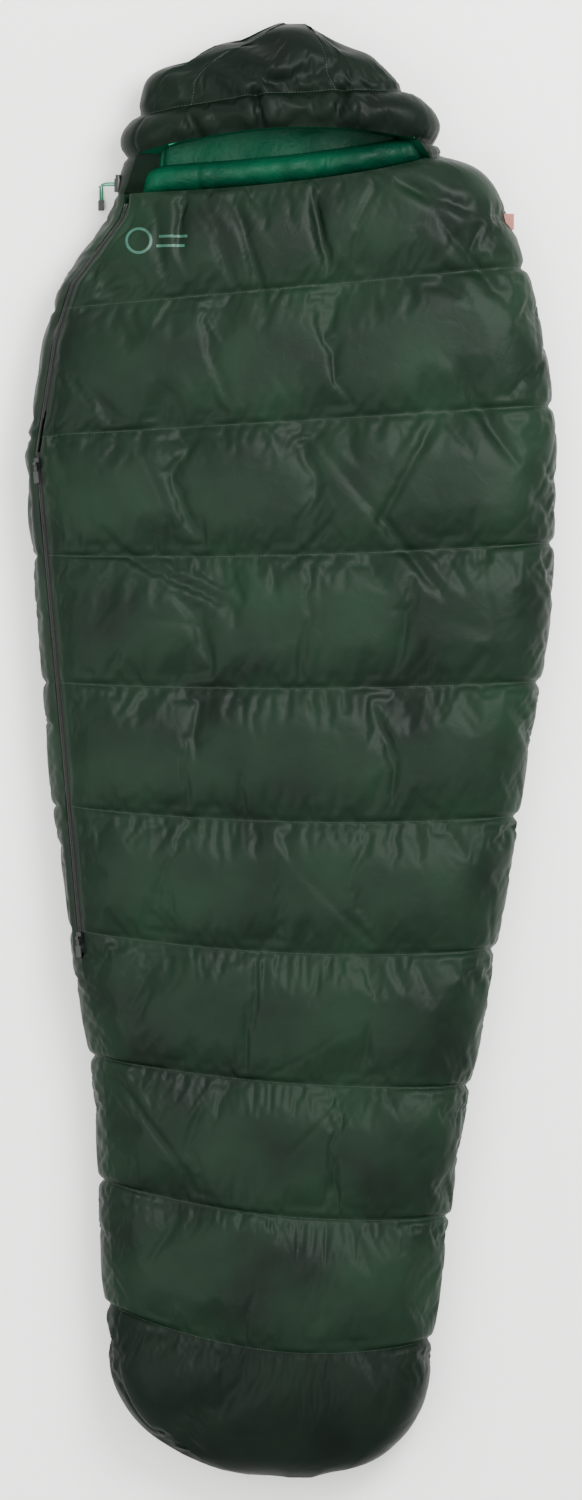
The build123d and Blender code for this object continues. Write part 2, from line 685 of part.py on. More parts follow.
with BuildPart() as lock_barrel:
    with BuildSketch(facing_head(LOCK_Y - LOCK_LENGTH / 2)):
        Circle(LOCK_RADIUS)
    extrude(amount=LOCK_LENGTH)
    fillet(lock_barrel.edges().sort_by(Axis.Y)[0], 1.0)
    with BuildSketch(facing_head(FLOOR_Y)):
        Circle(BORE)
    extrude(amount=LOCK_LENGTH, mode=Mode.SUBTRACT)
    add(cord_way(HOLE_Y, HOLE_WIDTH), mode=Mode.SUBTRACT)
finish("cord_lock_barrel", lock_barrel.part)

with BuildPart() as lock_plunger:
    with BuildSketch(facing_head(PLUNGER_FOOT_Y)):
        Circle(PLUNGER_RADIUS)
    extrude(amount=LOCK_Y + LOCK_LENGTH / 2 + PLUNGER_REACH - PLUNGER_FOOT_Y)
    fillet(lock_plunger.edges().sort_by(Axis.Y)[-1], 1.2)
    # The cords' way through it is longer, so that it lets them go when pressed.
    add(cord_way(HOLE_Y + PLUNGER_TRAVEL / 2 + 0.2, PLUNGER_HOLE), mode=Mode.SUBTRACT)
finish("cord_lock_plunger", lock_plunger.part)

SPRING_TURNS = 3
with BuildPart() as lock_spring:
    for turn in range(SPRING_TURNS):
        with Locations(facing_head(FLOOR_Y + SPRING_WIRE / 2 + turn * (SPRING_WIRE + 0.05))):
            Torus(BORE - SPRING_WIRE, SPRING_WIRE / 2)
finish("cord_lock_spring", lock_spring.part)

# ---- the free loop of drawcord: two strands from the lock to the cord end ---------------
END_Y = LOCK_Y - 18.0
END_ENTRY_Z = CORD / 2 + GROUND_ROOM
END_STRAND_X = LOCK_X - 25.0
END_X = END_STRAND_X - STRAND_SPACING / 2
FRONT_Y = HOLE_Y + STRAND_SPACING / 2
BACK_Y = HOLE_Y - STRAND_SPACING / 2
STRANDS = {
    "drawcord_strand_head": [
        (LOCK_X + 6.0, FRONT_Y, LOCK_Z),
        (LOCK_X - 18.0, FRONT_Y, LOCK_Z),
        (LOCK_X - 26.0, FRONT_Y - 1.0, 48.0),
        (LOCK_X - 24.0, FRONT_Y - 2.0, 23.0),
        (END_STRAND_X, FRONT_Y - 3.0, END_ENTRY_Z),
        (END_STRAND_X, END_Y, END_ENTRY_Z),
    ],
    "drawcord_strand_foot": [
        (LOCK_X + 6.0, BACK_Y, LOCK_Z),
        (LOCK_X - 20.0, BACK_Y, LOCK_Z),
        (LOCK_X - 26.0 - STRAND_SPACING, BACK_Y - 0.2, 46.0),
        (LOCK_X - 24.2 - STRAND_SPACING, BACK_Y - 0.3, 23.0),
        (END_STRAND_X - STRAND_SPACING, BACK_Y - 0.5, END_ENTRY_Z),
        (END_STRAND_X - STRAND_SPACING, END_Y, END_ENTRY_Z),
    ],
}
BEND_SHARE = 0.45


def bend_radii(points):
    """As large a radius at each point as its two runs allow."""
    corners = [Vector(*p) for p in points]
    radii = []
    for before, here, after in zip(corners, corners[1:], corners[2:]):
        turn = radians((here - before).get_angle(after - here))
        run = min((here - before).length, (after - here).length)
        radii.append(BEND_SHARE * run * (1 + cos(turn)) / sin(turn))
    return radii


for name, points in STRANDS.items():
    radii = bend_radii(points)
    with BuildPart() as strand:
        with BuildLine() as path:
            FilletPolyline(*points, radius=radii)
        with BuildSketch(Plane(origin=path.line @ 0, z_dir=path.line % 0)):
            Circle(CORD / 2)
        sweep()
    run = sum(edge.length for edge in path.edges())
    share = strand.part.volume / (run * pi * CORD**2 / 4)
    print(name, "length", round(run, 1), "radii", [round(r, 1) for r in radii], round(share, 3))
    finish(name, strand.part)

with BuildPart() as cord_end:
    with Locations((END_X, END_Y - END_LENGTH / 2, END_HEIGHT / 2)):
        Box(END_WIDTH, END_LENGTH, END_HEIGHT)
    fillet(cord_end.edges().group_by(Axis.Y)[0], 1.6)
finish("drawcord_end", cord_end.part)

# ---- trim -----------------------------------------------------------------------------
label_edge = cross_section(LABEL_Y)[1]
with BuildPart() as side_label:
    with Locations((label_edge, LABEL_Y, SIDE_RADIUS)):
        Box(2 * LABEL_REACH, LABEL_WIDTH, LABEL_THICKNESS)
    add(outer_form, mode=Mode.SUBTRACT)
finish("side_label", side_label.part)

with BuildPart() as mark_outline:
    with BuildSketch():
        with Locations(PRINT_CENTRE):
            with Locations(MARK_RING):
                Circle(PRINT_RADIUS)
                Circle(PRINT_RADIUS - PRINT_LINE, mode=Mode.SUBTRACT)
            with Locations(*MARK_BARS):
                Rectangle(MARK_BAR_LENGTH, PRINT_LINE)
    extrude(amount=BEYOND)
print_form = bag_form(-PRINT_THICKNESS, 0.0, HEAD_Y - 200)
with BuildPart() as flap_print:
    add(print_form)
    add(outer_form, mode=Mode.SUBTRACT)
    add(top_half, mode=Mode.INTERSECT)
    add(mark_outline.part, mode=Mode.INTERSECT)
finish("flap_print", flap_print.part)
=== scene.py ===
"""Mummy sleeping bag: quilted shell, lining, zip, hood, drawcord and studio, around the fixed frame."""

import logging
import math
from dataclasses import dataclass
from enum import Enum
from typing import Callable, Optional, Sequence

import bpy
import numpy as np
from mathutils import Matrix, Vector
from mathutils.bvhtree import BVHTree


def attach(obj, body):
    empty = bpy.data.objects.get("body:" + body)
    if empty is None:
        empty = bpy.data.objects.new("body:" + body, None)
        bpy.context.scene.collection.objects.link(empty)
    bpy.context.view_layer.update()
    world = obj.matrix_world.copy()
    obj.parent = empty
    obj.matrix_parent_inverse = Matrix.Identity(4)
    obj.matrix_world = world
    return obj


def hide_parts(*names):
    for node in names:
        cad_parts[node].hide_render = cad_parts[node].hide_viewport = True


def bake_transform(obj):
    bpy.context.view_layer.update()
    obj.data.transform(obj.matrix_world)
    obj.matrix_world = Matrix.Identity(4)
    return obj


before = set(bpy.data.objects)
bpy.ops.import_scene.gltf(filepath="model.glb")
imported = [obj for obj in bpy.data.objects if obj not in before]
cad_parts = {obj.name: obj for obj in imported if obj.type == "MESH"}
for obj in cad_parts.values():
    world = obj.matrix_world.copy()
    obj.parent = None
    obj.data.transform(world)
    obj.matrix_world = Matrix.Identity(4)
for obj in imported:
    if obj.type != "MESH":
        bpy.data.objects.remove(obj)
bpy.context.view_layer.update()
LOG = logging.getLogger("sleeping_bag")
MM = 0.001
NOISE_WAVES = 14


# ---------------------------------------------------------------------------- helpers
def linear(hex_colour: str) -> tuple[float, float, float, float]:
    """Turn an sRGB hex colour into a linear one.

    Args:
        hex_colour: six hex digits, such as "2a3b2d".

    Returns:
        Red, green, blue and alpha, linear, from 0 to 1.
    """
    parts = [int(hex_colour[i:i + 2], 16) / 255 for i in (0, 2, 4)]
    bent = [p / 12.92 if p <= 0.04045 else ((p + 0.055) / 1.055) ** 2.4 for p in parts]
    return (bent[0], bent[1], bent[2], 1.0)


def smoothstep(low: float, high: float, value: np.ndarray) -> np.ndarray:
    """Rise smoothly from 0 at low to 1 at high."""
    share = np.clip((value - low) / (high - low), 0.0, 1.0)
    return share * share * (3 - 2 * share)


def mesh_object(name: str, points: np.ndarray, faces: Sequence[Sequence[int]]) -> bpy.types.Object:
    """Make a mesh object at the origin.

    Args:
        name: the piece's name.
        points: vertices in metres, one row each.
        faces: vertex numbers of each face.

    Returns:
        The new object, linked to the scene and shaded smooth.
    """
    mesh = bpy.data.meshes.new(name)
    mesh.from_pydata([tuple(p) for p in points], [], [tuple(int(i) for i in f) for f in faces])
    mesh.validate()
    mesh.shade_smooth()
    obj = bpy.data.objects.new(name, mesh)
    bpy.context.scene.collection.objects.link(obj)
    return obj


def vertices_of(obj: bpy.types.Object) -> np.ndarray:
    """Give an object's own vertices as an array of points."""
    out = np.zeros(len(obj.data.vertices) * 3, np.float32)
    obj.data.vertices.foreach_get("co", out)
    return out.reshape(-1, 3).astype(float)


def baked(obj: bpy.types.Object) -> bpy.types.Object:
    """Turn an object's modifiers into its plain mesh and remove them."""
    graph = bpy.context.evaluated_depsgraph_get()
    graph.update()
    mesh = bpy.data.meshes.new_from_object(obj.evaluated_get(graph))
    mesh.name = obj.name
    obj.modifiers.clear()
    obj.data = mesh
    return obj


def outline_noise(points: np.ndarray, size: float, seed: int) -> np.ndarray:
    """Give smooth noise from -1 to 1 at points, with bumps of about a size.

    Args:
        points: places in metres, one row each.
        size: the width of a bump in metres.
        seed: which noise.

    Returns:
        One value for each point.
    """
    draw = np.random.default_rng(seed)
    total = np.zeros(len(points))
    for _ in range(NOISE_WAVES):
        way = draw.normal(size=3)
        way /= np.linalg.norm(way)
        stretch = draw.uniform(0.7, 1.5) * math.pi / size
        total += np.sin(points @ way * stretch + draw.uniform(0, 2 * math.pi))
    return total / math.sqrt(NOISE_WAVES)


# ---------------------------------------------------------------------------- the bag's form
@dataclass(frozen=True)
class BagSizes:
    """Sizes of the filled bag in millimetres, in the frame's axes."""

    loft: float = 128.5
    foot_end: float = -1074.0
    crown_end: float = 1073.0
    foot_round: float = 165.0
    crown_round: float = 150.0
    end_middle: float = 54.0
    zip_angle: float = 42.0
    wall: float = 47.0
    # Place along the bag, left edge and right edge, from the start of the round foot to the crown.
    outline: tuple = (
        (-900, -265, 205), (-700, -282, 230), (-460, -295, 270), (-225, -335, 317),
        (15, -362, 352), (250, -384, 386), (430, -393, 393), (520, -379, 383),
        (610, -367, 368), (715, -323, 349), (785, -269, 321), (860, -245, 276),
        (890, -243, 222), (930, -231, 210), (965, -216, 180), (1000, -195, 144),
        (1035, -126, 107), (1073, -14, 30),
    )
    # The foot's end: its middle, its tip, and how square its left and right corners are (2 is an ellipse).
    foot_middle: float = 4.0
    foot_tip: float = -1080.0
    foot_square: tuple = (1.85, 2.1)


class BagForm:
    """The smooth form of the filled bag, as cross sections along its length."""

    TABLE_STEP = 2.0
    CURVE_STEPS = 60

    def __init__(self, sizes: BagSizes, top_columns: int, bottom_columns: int) -> None:
        """Work out the cross sections.

        Args:
            sizes: the bag's sizes.
            top_columns: grid spaces from the zip over the top to the other side.
            bottom_columns: grid spaces from there under the bag back to the zip.
        """
        self.sizes = sizes
        self.top_columns = top_columns
        self.columns = top_columns + bottom_columns
        rows = np.array(sizes.outline, float)
        self.table_y = np.arange(sizes.foot_end, sizes.crown_end + 0.1, self.TABLE_STEP)
        self.left, self.right = (
            self._rounded(self._smooth(rows[:, 0], rows[:, side + 1]), sizes.foot_square[side])
            for side in (0, 1)
        )
        self.table = np.array([self._section(k) for k in range(len(self.table_y))])

    def _smooth(self, at: np.ndarray, values: np.ndarray) -> np.ndarray:
        """Join values along the bag by a curve that doesn't overshoot."""
        slopes = np.diff(values) / np.diff(at)
        ends = np.concatenate([[slopes[0]], (slopes[1:] + slopes[:-1]) / 2, [slopes[-1]]])
        turns = slopes[1:] * slopes[:-1] <= 0
        ends[1:-1][turns] = 0.0
        k = np.clip(np.searchsorted(at, self.table_y, side="right") - 1, 0, len(at) - 2)
        width = at[k + 1] - at[k]
        t = (self.table_y - at[k]) / width
        return (
            (2 * t**3 - 3 * t**2 + 1) * values[k] + (t**3 - 2 * t**2 + t) * width * ends[k]
            + (3 * t**2 - 2 * t**3) * values[k + 1] + (t**3 - t**2) * width * ends[k + 1]
        )

    def _rounded(self, edge: np.ndarray, square: float) -> np.ndarray:
        """Bring an edge in to the foot's tip along a quarter of a superellipse."""
        s, start = self.sizes, self.sizes.outline[0][0]
        share = np.clip((start - self.table_y) / (start - s.foot_tip), 0, 1)
        held = np.where(share > 0, edge[np.searchsorted(self.table_y, start)], edge)
        return s.foot_middle + (held - s.foot_middle) * (1 - share**square) ** (1 / square)

    def fullness(self, y: float) -> float:
        """Say how much of the full height the bag has at y, from 0 at an end to 1."""
        s = self.sizes
        foot = np.clip((s.foot_end + s.foot_round - y) / s.foot_round, 0, 1)
        crown = np.clip((y - s.crown_end + s.crown_round) / s.crown_round, 0, 1)
        return float((1 - foot**2.4) ** 0.55 * (1 - crown**2.4) ** 0.55)

    def _section(self, k: int) -> np.ndarray:
        """Give the points of one cross section, from the zip over the top and back."""
        s, left, right = self.sizes, self.left[k], self.right[k]
        full = max(self.fullness(self.table_y[k]), 0.04)
        top = s.end_middle + (s.loft - s.end_middle) * full
        base = s.end_middle * (1 - full)
        radius = min((top - base) * 0.455, (right - left) * 0.46)
        crest = base + 2 * radius
        start = math.radians(s.zip_angle)
        bend = np.linspace(start, math.pi / 2, self.CURVE_STEPS)
        over = [(left + radius - radius * np.cos(a), base + radius + radius * np.sin(a)) for a in bend]
        f = np.linspace(-1, 1, 2 * self.CURVE_STEPS)
        half = (right - left) / 2 - radius
        over += list(zip((left + right) / 2 + f * half, crest + (top - crest) * (1 - f**2)))
        bend = np.linspace(math.pi / 2, 0, self.CURVE_STEPS)
        over += [(right - radius + radius * np.cos(a), base + radius + radius * np.sin(a)) for a in bend]
        bend = np.linspace(0, -math.pi / 2, self.CURVE_STEPS)
        under = [(right - radius + radius * np.cos(a), base + radius + radius * np.sin(a)) for a in bend]
        under += list(zip((left + right) / 2 - f * half, np.full_like(f, base)))
        bend = np.linspace(-math.pi / 2, start, self.CURVE_STEPS)
        under += [(left + radius - radius * np.cos(a), base + radius + radius * np.sin(a)) for a in bend]
        return np.concatenate([
            self._evenly(np.array(over), self.top_columns),
            self._evenly(np.array(under), self.columns - self.top_columns),
        ])

    @staticmethod
    def _evenly(curve: np.ndarray, spaces: int) -> np.ndarray:
        """Place points at even steps along a curve, without its last one."""
        steps = np.concatenate([[0], np.cumsum(np.linalg.norm(np.diff(curve, axis=0), axis=1))])
        at = np.linspace(0, steps[-1], spaces + 1)[:-1]
        return np.stack([np.interp(at, steps, curve[:, i]) for i in (0, 1)], axis=1)

    def place(self, y: np.ndarray, column: np.ndarray) -> np.ndarray:
        """Give the points of the form at places y and columns, as x, y and z rows."""
        k = np.clip((y - self.table_y[0]) / self.TABLE_STEP, 0, len(self.table_y) - 1.001)
        low = k.astype(int)
        share = (k - low)[:, None]
        xz = self.table[low, column] * (1 - share) + self.table[low + 1, column] * share
        return np.stack([xz[:, 0], y, xz[:, 1]], axis=1)


class Seam(Enum):
    """A line of stitching across the bag: place in its middle, left rise and right rise."""

    FOOT = (-888, 66, 14)
    SHIN = (-688, 50, -4)
    CALF = (-492, 38, -6)
    KNEE = (-300, 34, 4)
    THIGH = (-106, 24, 7)
    HIP = (91, 9, 10)
    WAIST = (288, 0, 19)
    BELLY = (486, -22, 25)
    CHEST = (684, -31, 33)
    NECK = (843, -19, 45)
    BRIM = (921, -41, -22)
    CREASE = (972, -28, 6)


@dataclass
class QuiltSizes:
    """Sizes of the stitched quilt in millimetres; face_low and face_high are shares of the half width."""

    spacing: float = 8.5
    top_columns: int = 112
    bottom_columns: int = 96
    seam_depth: float = 5.0
    puff: float = 3.0
    puff_reach: float = 75.0
    fold: float = 3.2
    hood_fold: float = 4.0
    dimple: tuple = (-356.0, 462.0)
    dimple_depth: float = 13.0
    dimple_width: float = 24.0
    ray_height: float = 3.2
    brim_height: float = 9.0
    crown_height: float = 4.0
    ground: float = 0.5
    face_low: float = -0.93
    face_high: float = 0.90
    frames: int = 22
    cap: float = 12.0
    crest: float = 134.0
    crest_room: float = 9.0


class QuiltGrid:
    """The stitched outer skin as one closed grid, made slack, filled and creased."""

    def __init__(self, sizes: QuiltSizes, form: BagForm) -> None:
        """Lay out the grid's rows so that every seam lies on one.

        Args:
            sizes: the quilt's sizes.
            form: the bag's smooth form.
        """
        self.sizes, self.form = sizes, form
        self.columns = form.columns
        stops = [form.sizes.foot_end + 2] + [s.value[0] for s in Seam] + [form.sizes.crown_end - 2]
        rises = [(0, 0)] + [s.value[1:] for s in Seam] + [(0, 0)]
        rows, self.seam_row = [], {}
        for k, (low, high) in enumerate(zip(stops, stops[1:])):
            count = max(2, round((high - low) / sizes.spacing))
            if k > 0:
                self.seam_row[list(Seam)[k - 1]] = len(rows)
            rows += [low + (high - low) * i / count for i in range(count)]
        rows.append(stops[-1])
        self.row_y = np.array(rows)
        self.rise = np.array([
            [np.interp(y, stops, [r[i] for r in rises]) for y in rows] for i in (0, 1)
        ])
        self.rows = len(rows)
        self.points = self._smooth_points()
        self.faces = self._all_faces()

    def index(self, row: int, column: int) -> int:
        """Give the number of the vertex at a row and a column."""
        return row * self.columns + column % self.columns

    def _smooth_points(self) -> np.ndarray:
        """Place the grid on the smooth form, with its rows along the seams."""
        columns = np.tile(np.arange(self.columns), self.rows)
        y = np.repeat(self.row_y, self.columns)
        flat = self.form.place(y, columns)
        left = np.interp(y, self.form.table_y, self.form.left)
        right = np.interp(y, self.form.table_y, self.form.right)
        self.across = np.clip((flat[:, 0] - (left + right) / 2) / ((right - left) / 2), -1, 1)
        low, high = (np.repeat(r, self.columns) for r in self.rise)
        slope, bow = (high - low) / 2, (high + low) / 2
        warped = y + slope * self.across + bow * self.across**2
        ends = (self.form.sizes.foot_end + 1, self.form.sizes.crown_end - 1)
        return self.form.place(np.clip(warped, *ends), columns)

    def _all_faces(self) -> list[tuple[int, ...]]:
        """Give the grid's quads, row by row."""
        return [
            (self.index(r, c), self.index(r, c + 1), self.index(r + 1, c + 1), self.index(r + 1, c))
            for r in range(self.rows - 1) for c in range(self.columns)
        ]

    def normals(self, points: np.ndarray) -> np.ndarray:
        """Give the outward direction at each grid point."""
        grid = points.reshape(self.rows, self.columns, 3)
        around = np.roll(grid, -1, axis=1) - np.roll(grid, 1, axis=1)
        along = np.gradient(grid, axis=0)
        out = np.cross(along, around).reshape(-1, 3)
        out /= np.maximum(np.linalg.norm(out, axis=1), 1e-9)[:, None]
        return -out if out[self.index(self.rows // 2, self.form.top_columns // 2), 2] < 0 else out


@dataclass(frozen=True)
class Fold:
    """A fold in the cloth: a valley from one place to another, with a ridge beside it, in millimetres."""

    start: tuple[float, float]
    end: tuple[float, float]
    width: float
    depth: float

    def height(self, points: np.ndarray) -> np.ndarray:
        """Give the height that the fold adds at each point."""
        a, b = np.array(self.start), np.array(self.end)
        along = b - a
        run = np.linalg.norm(along)
        away = points[:, :2] - a
        share = away @ along / run**2
        side = (away[:, 0] * along[1] - away[:, 1] * along[0]) / run
        fade = smoothstep(-0.25, 0.2, share) * (1 - smoothstep(0.7, 1.25, share))
        valley = np.exp(-((side / self.width) ** 2))
        ridge = np.exp(-(((np.abs(side) - 1.9 * self.width) / (1.3 * self.width)) ** 2))
        return self.depth * (0.45 * ridge - valley) * fade


FOLDS = (
    Fold((-157, 816), (-167, 734), 9, 6), Fold((36, 805), (51, 724), 10, 6),
    Fold((155, 838), (267, 794), 11, 8), Fold((185, 823), (311, 668), 12, 5),
    Fold((-75, 794), (-42, 668), 10, 4), Fold((73, 415), (207, 252), 9, 4),
    Fold((207, 475), (133, 341), 8, 4), Fold((-238, 281), (-105, 222), 8, 3),
    Fold((14, -179), (103, -268), 7, 3), Fold((-253, -491), (-164, -610), 7, 3),
    Fold((-53, 976), (-42, 917), 8, 9), Fold((81, 979), (66, 935), 9, 9),
    Fold((-149, 935), (-127, 890), 9, 8), Fold((-90, 1009), (0, 979), 10, 5),
    Fold((-38, 982), (59, 1009), 9, 4), Fold((250, 560), (330, 420), 11, 4),
)


class Stitching:
    """Shapes the quilt: slack channels between the seams, filled by cloth simulation, then creased."""

    def __init__(self, grid: QuiltGrid) -> None:
        """Keep the grid and measure how far each row lies from its nearest seam."""
        self.grid = grid
        rows = np.array(sorted(grid.seam_row.values()))
        self.stitched_y = grid.row_y[rows]
        gap = np.abs(grid.row_y[:, None] - self.stitched_y[None, :])
        self.row_gap = gap.min(axis=1)

    def channel_height(self, gap: np.ndarray) -> np.ndarray:
        """Give the height over the smooth form, in millimetres, at a distance from a seam."""
        s = self.grid.sizes
        rise = np.clip(gap / s.puff_reach, 0, 1)
        return s.puff * np.sqrt(rise * (2 - rise)) - s.seam_depth * np.exp(-gap / 8)

    def hood_height(self) -> np.ndarray:
        """Give the extra height of the hood's brim roll and crown over the smooth form."""
        y = self.grid.row_y
        brim, crease = Seam.BRIM.value[0], Seam.CREASE.value[0]
        roll = np.clip((y - brim) / (crease - brim), 0, 1)
        crown = np.clip((y - crease) / 100, 0, 1)
        s = self.grid.sizes
        return s.brim_height * np.sin(math.pi * roll) + s.crown_height * np.sin(math.pi * crown) ** 2

    def start_shape(self) -> np.ndarray:
        """Give the grid's points before the filling swells them."""
        g, s = self.grid, self.grid.sizes
        points, out = g.points.copy(), g.normals(g.points)
        upper = smoothstep(12, 60, points[:, 2])
        height = np.repeat(self.channel_height(self.row_gap) + self.hood_height(), g.columns)
        height = height * upper
        height += s.fold * outline_noise(points * [1, 0.45, 1], 95, 11) * upper
        hood = smoothstep(Seam.BRIM.value[0] - 25, Seam.BRIM.value[0] + 10, points[:, 1])
        height += s.hood_fold * outline_noise(points * [1, 0.5, 1], 62, 15) * upper * hood
        for fold in FOLDS:
            height += fold.height(points) * upper
        away = np.linalg.norm(points[:, :2] - np.array(s.dimple), axis=1)
        turn = np.arctan2(points[:, 1] - s.dimple[1], points[:, 0] - s.dimple[0])
        rays = s.ray_height * np.sin(7 * turn + 0.6) * np.exp(-away / 70) * (1 - np.exp(-away / 16))
        height += (rays - s.dimple_depth * np.exp(-((away / s.dimple_width) ** 2))) * upper
        return points + out * height[:, None]

    def pinned(self) -> list[int]:
        """Give the vertices that the stitching, the zip and the ground hold still."""
        g = self.grid
        held = {g.index(r, c) for r in g.seam_row.values() for c in range(g.columns)}
        held |= {g.index(r, 0) for r in range(g.rows)}
        held |= set(np.where(g.points[:, 2] < 4)[0].tolist())
        for column in self.gore_columns():
            held |= {g.index(r, column) for r in range(g.seam_row[Seam.BRIM], g.rows)}
        low, high = g.seam_row[Seam.NECK], g.seam_row[Seam.BRIM]
        held |= {g.index(r, c) for r in range(low, high + 1) for c in range(g.columns)}
        return sorted(held)

    def gore_columns(self) -> tuple[int, int]:
        """Give the top columns on which the two seams of the hood's gores lie."""
        g = self.grid
        row = g.seam_row[Seam.CREASE]
        x = [g.points[g.index(row, c), 0] for c in range(g.form.top_columns)]
        return tuple(int(np.argmin(np.abs(np.array(x) - at))) for at in (-150.0, 66.0))

    def filled(self) -> np.ndarray:
        """Swell the channels with cloth simulation, and cap how far a point may move.

        Returns:
            The grid's points in millimetres.
        """
        start = self.start_shape()
        g, s = self.grid, self.grid.sizes
        skin = mesh_object("quilt_for_filling", start * MM, g.faces)
        skin.vertex_groups.new(name="stitched").add(self.pinned(), 1.0, "REPLACE")
        cloth = skin.modifiers.new("Filling", "CLOTH")
        settings = cloth.settings
        settings.quality = 4
        settings.mass = 0.15
        settings.tension_stiffness, settings.compression_stiffness = 15, 8
        settings.shear_stiffness, settings.bending_stiffness = 4, 0.12
        settings.use_pressure = True
        settings.uniform_pressure_force = 0.9
        settings.vertex_group_mass = "stitched"
        settings.pin_stiffness = 1
        settings.shrink_min = -0.024
        settings.effector_weights.gravity = 0
        cloth.collision_settings.use_collision = False
        cloth.point_cache.frame_start, cloth.point_cache.frame_end = 1, s.frames
        bpy.context.scene.frame_start, bpy.context.scene.frame_end = 1, s.frames
        for number in range(1, s.frames + 1):
            bpy.context.scene.frame_set(number)
        graph = bpy.context.evaluated_depsgraph_get()
        mesh = bpy.data.meshes.new_from_object(skin.evaluated_get(graph))
        swollen = np.zeros(len(mesh.vertices) * 3, np.float32)
        mesh.vertices.foreach_get("co", swollen)
        bpy.data.objects.remove(skin)
        bpy.data.meshes.remove(mesh)
        move = swollen.reshape(-1, 3).astype(float) / MM - start
        far = np.linalg.norm(move, axis=1)
        return start + move * (np.minimum(far, s.cap) / np.maximum(far, 1e-9))[:, None]


class ZipLine:
    """The middle of the zip, read from the lower tape of the frame."""

    def __init__(self) -> None:
        """Take, at each place along the zip, the tape's highest corner."""
        points = vertices_of(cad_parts["zip_tape_lower"]) / MM
        best: dict[int, np.ndarray] = {}
        for point in points:
            key = round(point[1])
            if key not in best or point[2] > best[key][2]:
                best[key] = point
        line = np.array([best[k] for k in sorted(best)])
        self.line = line[line[:, 2] > np.median(line[:, 2]) - 3]
        self.line[:, [0, 2]] += 0.9 * QuiltSkin.UP - 0.8 * QuiltSkin.OUT
        self.low, self.high = self.line[0, 1], self.line[-1, 1]

    def at(self, y: np.ndarray) -> np.ndarray:
        """Give x and z of the zip's middle at places y, in millimetres."""
        x = np.interp(y, self.line[:, 1], self.line[:, 0])
        return np.stack([x, np.interp(y, self.line[:, 1], self.line[:, 2])], axis=1)


class QuiltSkin:
    """The finished outer and inner surfaces of the quilt, as grids of points."""

    SLOT_HALF = 6.2
    SLOT_COLUMNS = 6
    UP = np.array([0.669, 0.743])
    OUT = np.array([-0.743, 0.669])

    def __init__(self, grid: QuiltGrid) -> None:
        """Fill the quilt and fit it to the zip.

        Args:
            grid: the quilt's grid.
        """
        self.grid = grid
        self.stitching = Stitching(grid)
        self.zip = ZipLine()
        self.coarse = self._fit_to_zip(self.stitching.filled())
        self.coarse[:, 2] = np.maximum(self.coarse[:, 2], 0.6)
        self.inner = self._inner()

    def _fit_to_zip(self, points: np.ndarray) -> np.ndarray:
        """Lead the edge of the quilt to the zip of the frame, and leave the slot open."""
        g = self.grid
        grid = points.reshape(g.rows, g.columns, 3).copy()
        y = grid[:, 0, 1]
        target = self.zip.at(y) + 1.2 * self.OUT
        reach = smoothstep(self.zip.low - 60, self.zip.low, y)
        reach = reach * (1 - smoothstep(self.zip.high + 6, self.zip.high + 75, y))
        slot = smoothstep(self.zip.low - 12, self.zip.low + 2, y)
        slot = slot * (1 - smoothstep(self.zip.high + 14, self.zip.high + 34, y))
        shift = (target - grid[:, 0][:, [0, 2]]) * reach[:, None]
        for column in range(-30, 31):
            arc = np.linalg.norm((grid[:, column] - grid[:, 0])[:, [0, 2]], axis=1)
            weight = np.exp(-((arc / 55) ** 2))[:, None]
            if column != 0:
                grid[:, column, 0] += (shift * weight)[:, 0]
                grid[:, column, 2] += (shift * weight)[:, 1]
        grid[:, 0, 0] += shift[:, 0]
        grid[:, 0, 2] += shift[:, 1]
        for column in (-2, -1, 0, 1, 2):
            below = ((grid[:, column][:, [0, 2]] - target) @ self.OUT) * slot
            push = np.clip(0.2 - below, 0, 9) * slot
            grid[:, column, 0] += push * self.OUT[0]
            grid[:, column, 2] += push * self.OUT[1]
        self.edge_top = grid[:, 0].copy()
        self.edge_bottom = grid[:, 0].copy()
        for k in range(self.SLOT_COLUMNS):
            push = (self.SLOT_HALF * (1 - k / self.SLOT_COLUMNS) * slot)[:, None]
            for side, row in ((1, k), (-1, -k)):
                target_grid = grid[:, row] if k else (self.edge_top if side > 0 else self.edge_bottom)
                target_grid[:, 0] += (side * push * self.UP)[:, 0]
                target_grid[:, 2] += (side * push * self.UP)[:, 1]
        return grid.reshape(-1, 3)

    def _inner(self) -> np.ndarray:
        """Give the lining's points, a wall's thickness inside the smooth form."""
        g = self.grid
        out = g.normals(g.points)
        out[:, 1] = 0
        full = np.array([g.form.fullness(y) for y in g.row_y])
        wall = np.repeat(np.minimum(g.form.sizes.wall, 60 * full - 8).clip(2, None), g.columns)
        points = g.points - out * wall[:, None]
        points += out * (2.2 * outline_noise(g.points, 42, 5) - 1.5)[:, None]
        return points

    def outer(self) -> np.ndarray:
        """Give the outer points by row and column, both ends of a row being the zip's edges."""
        g = self.grid
        whole = self.coarse.reshape(g.rows, g.columns, 3)
        return np.concatenate([self.edge_top[:, None], whole[:, 1:], self.edge_bottom[:, None]], axis=1)

    def closed_inner(self) -> np.ndarray:
        """Give the inner points in the same layout."""
        g = self.grid
        whole = self.inner.reshape(g.rows, g.columns, 3)
        return np.concatenate([whole, whole[:, :1]], axis=1)


def refined(patch: np.ndarray) -> np.ndarray:
    """Double a patch's points each way with a curve through the old ones."""
    for axis in (0, 1):
        moved = np.moveaxis(patch, axis, 0)
        before = np.concatenate([2 * moved[:1] - moved[1:2], moved[:-1]])
        after = np.concatenate([moved[1:], 2 * moved[-1:] - moved[-2:-1]])
        beyond = np.concatenate([after[1:], 2 * after[-1:] - moved[-1:]])
        middle = (9 * (moved + after) - before - beyond) / 16
        out = np.empty((2 * len(moved) - 1,) + moved.shape[1:])
        out[::2], out[1::2] = moved, middle[:-1]
        patch = np.moveaxis(out, 0, axis)
    return patch


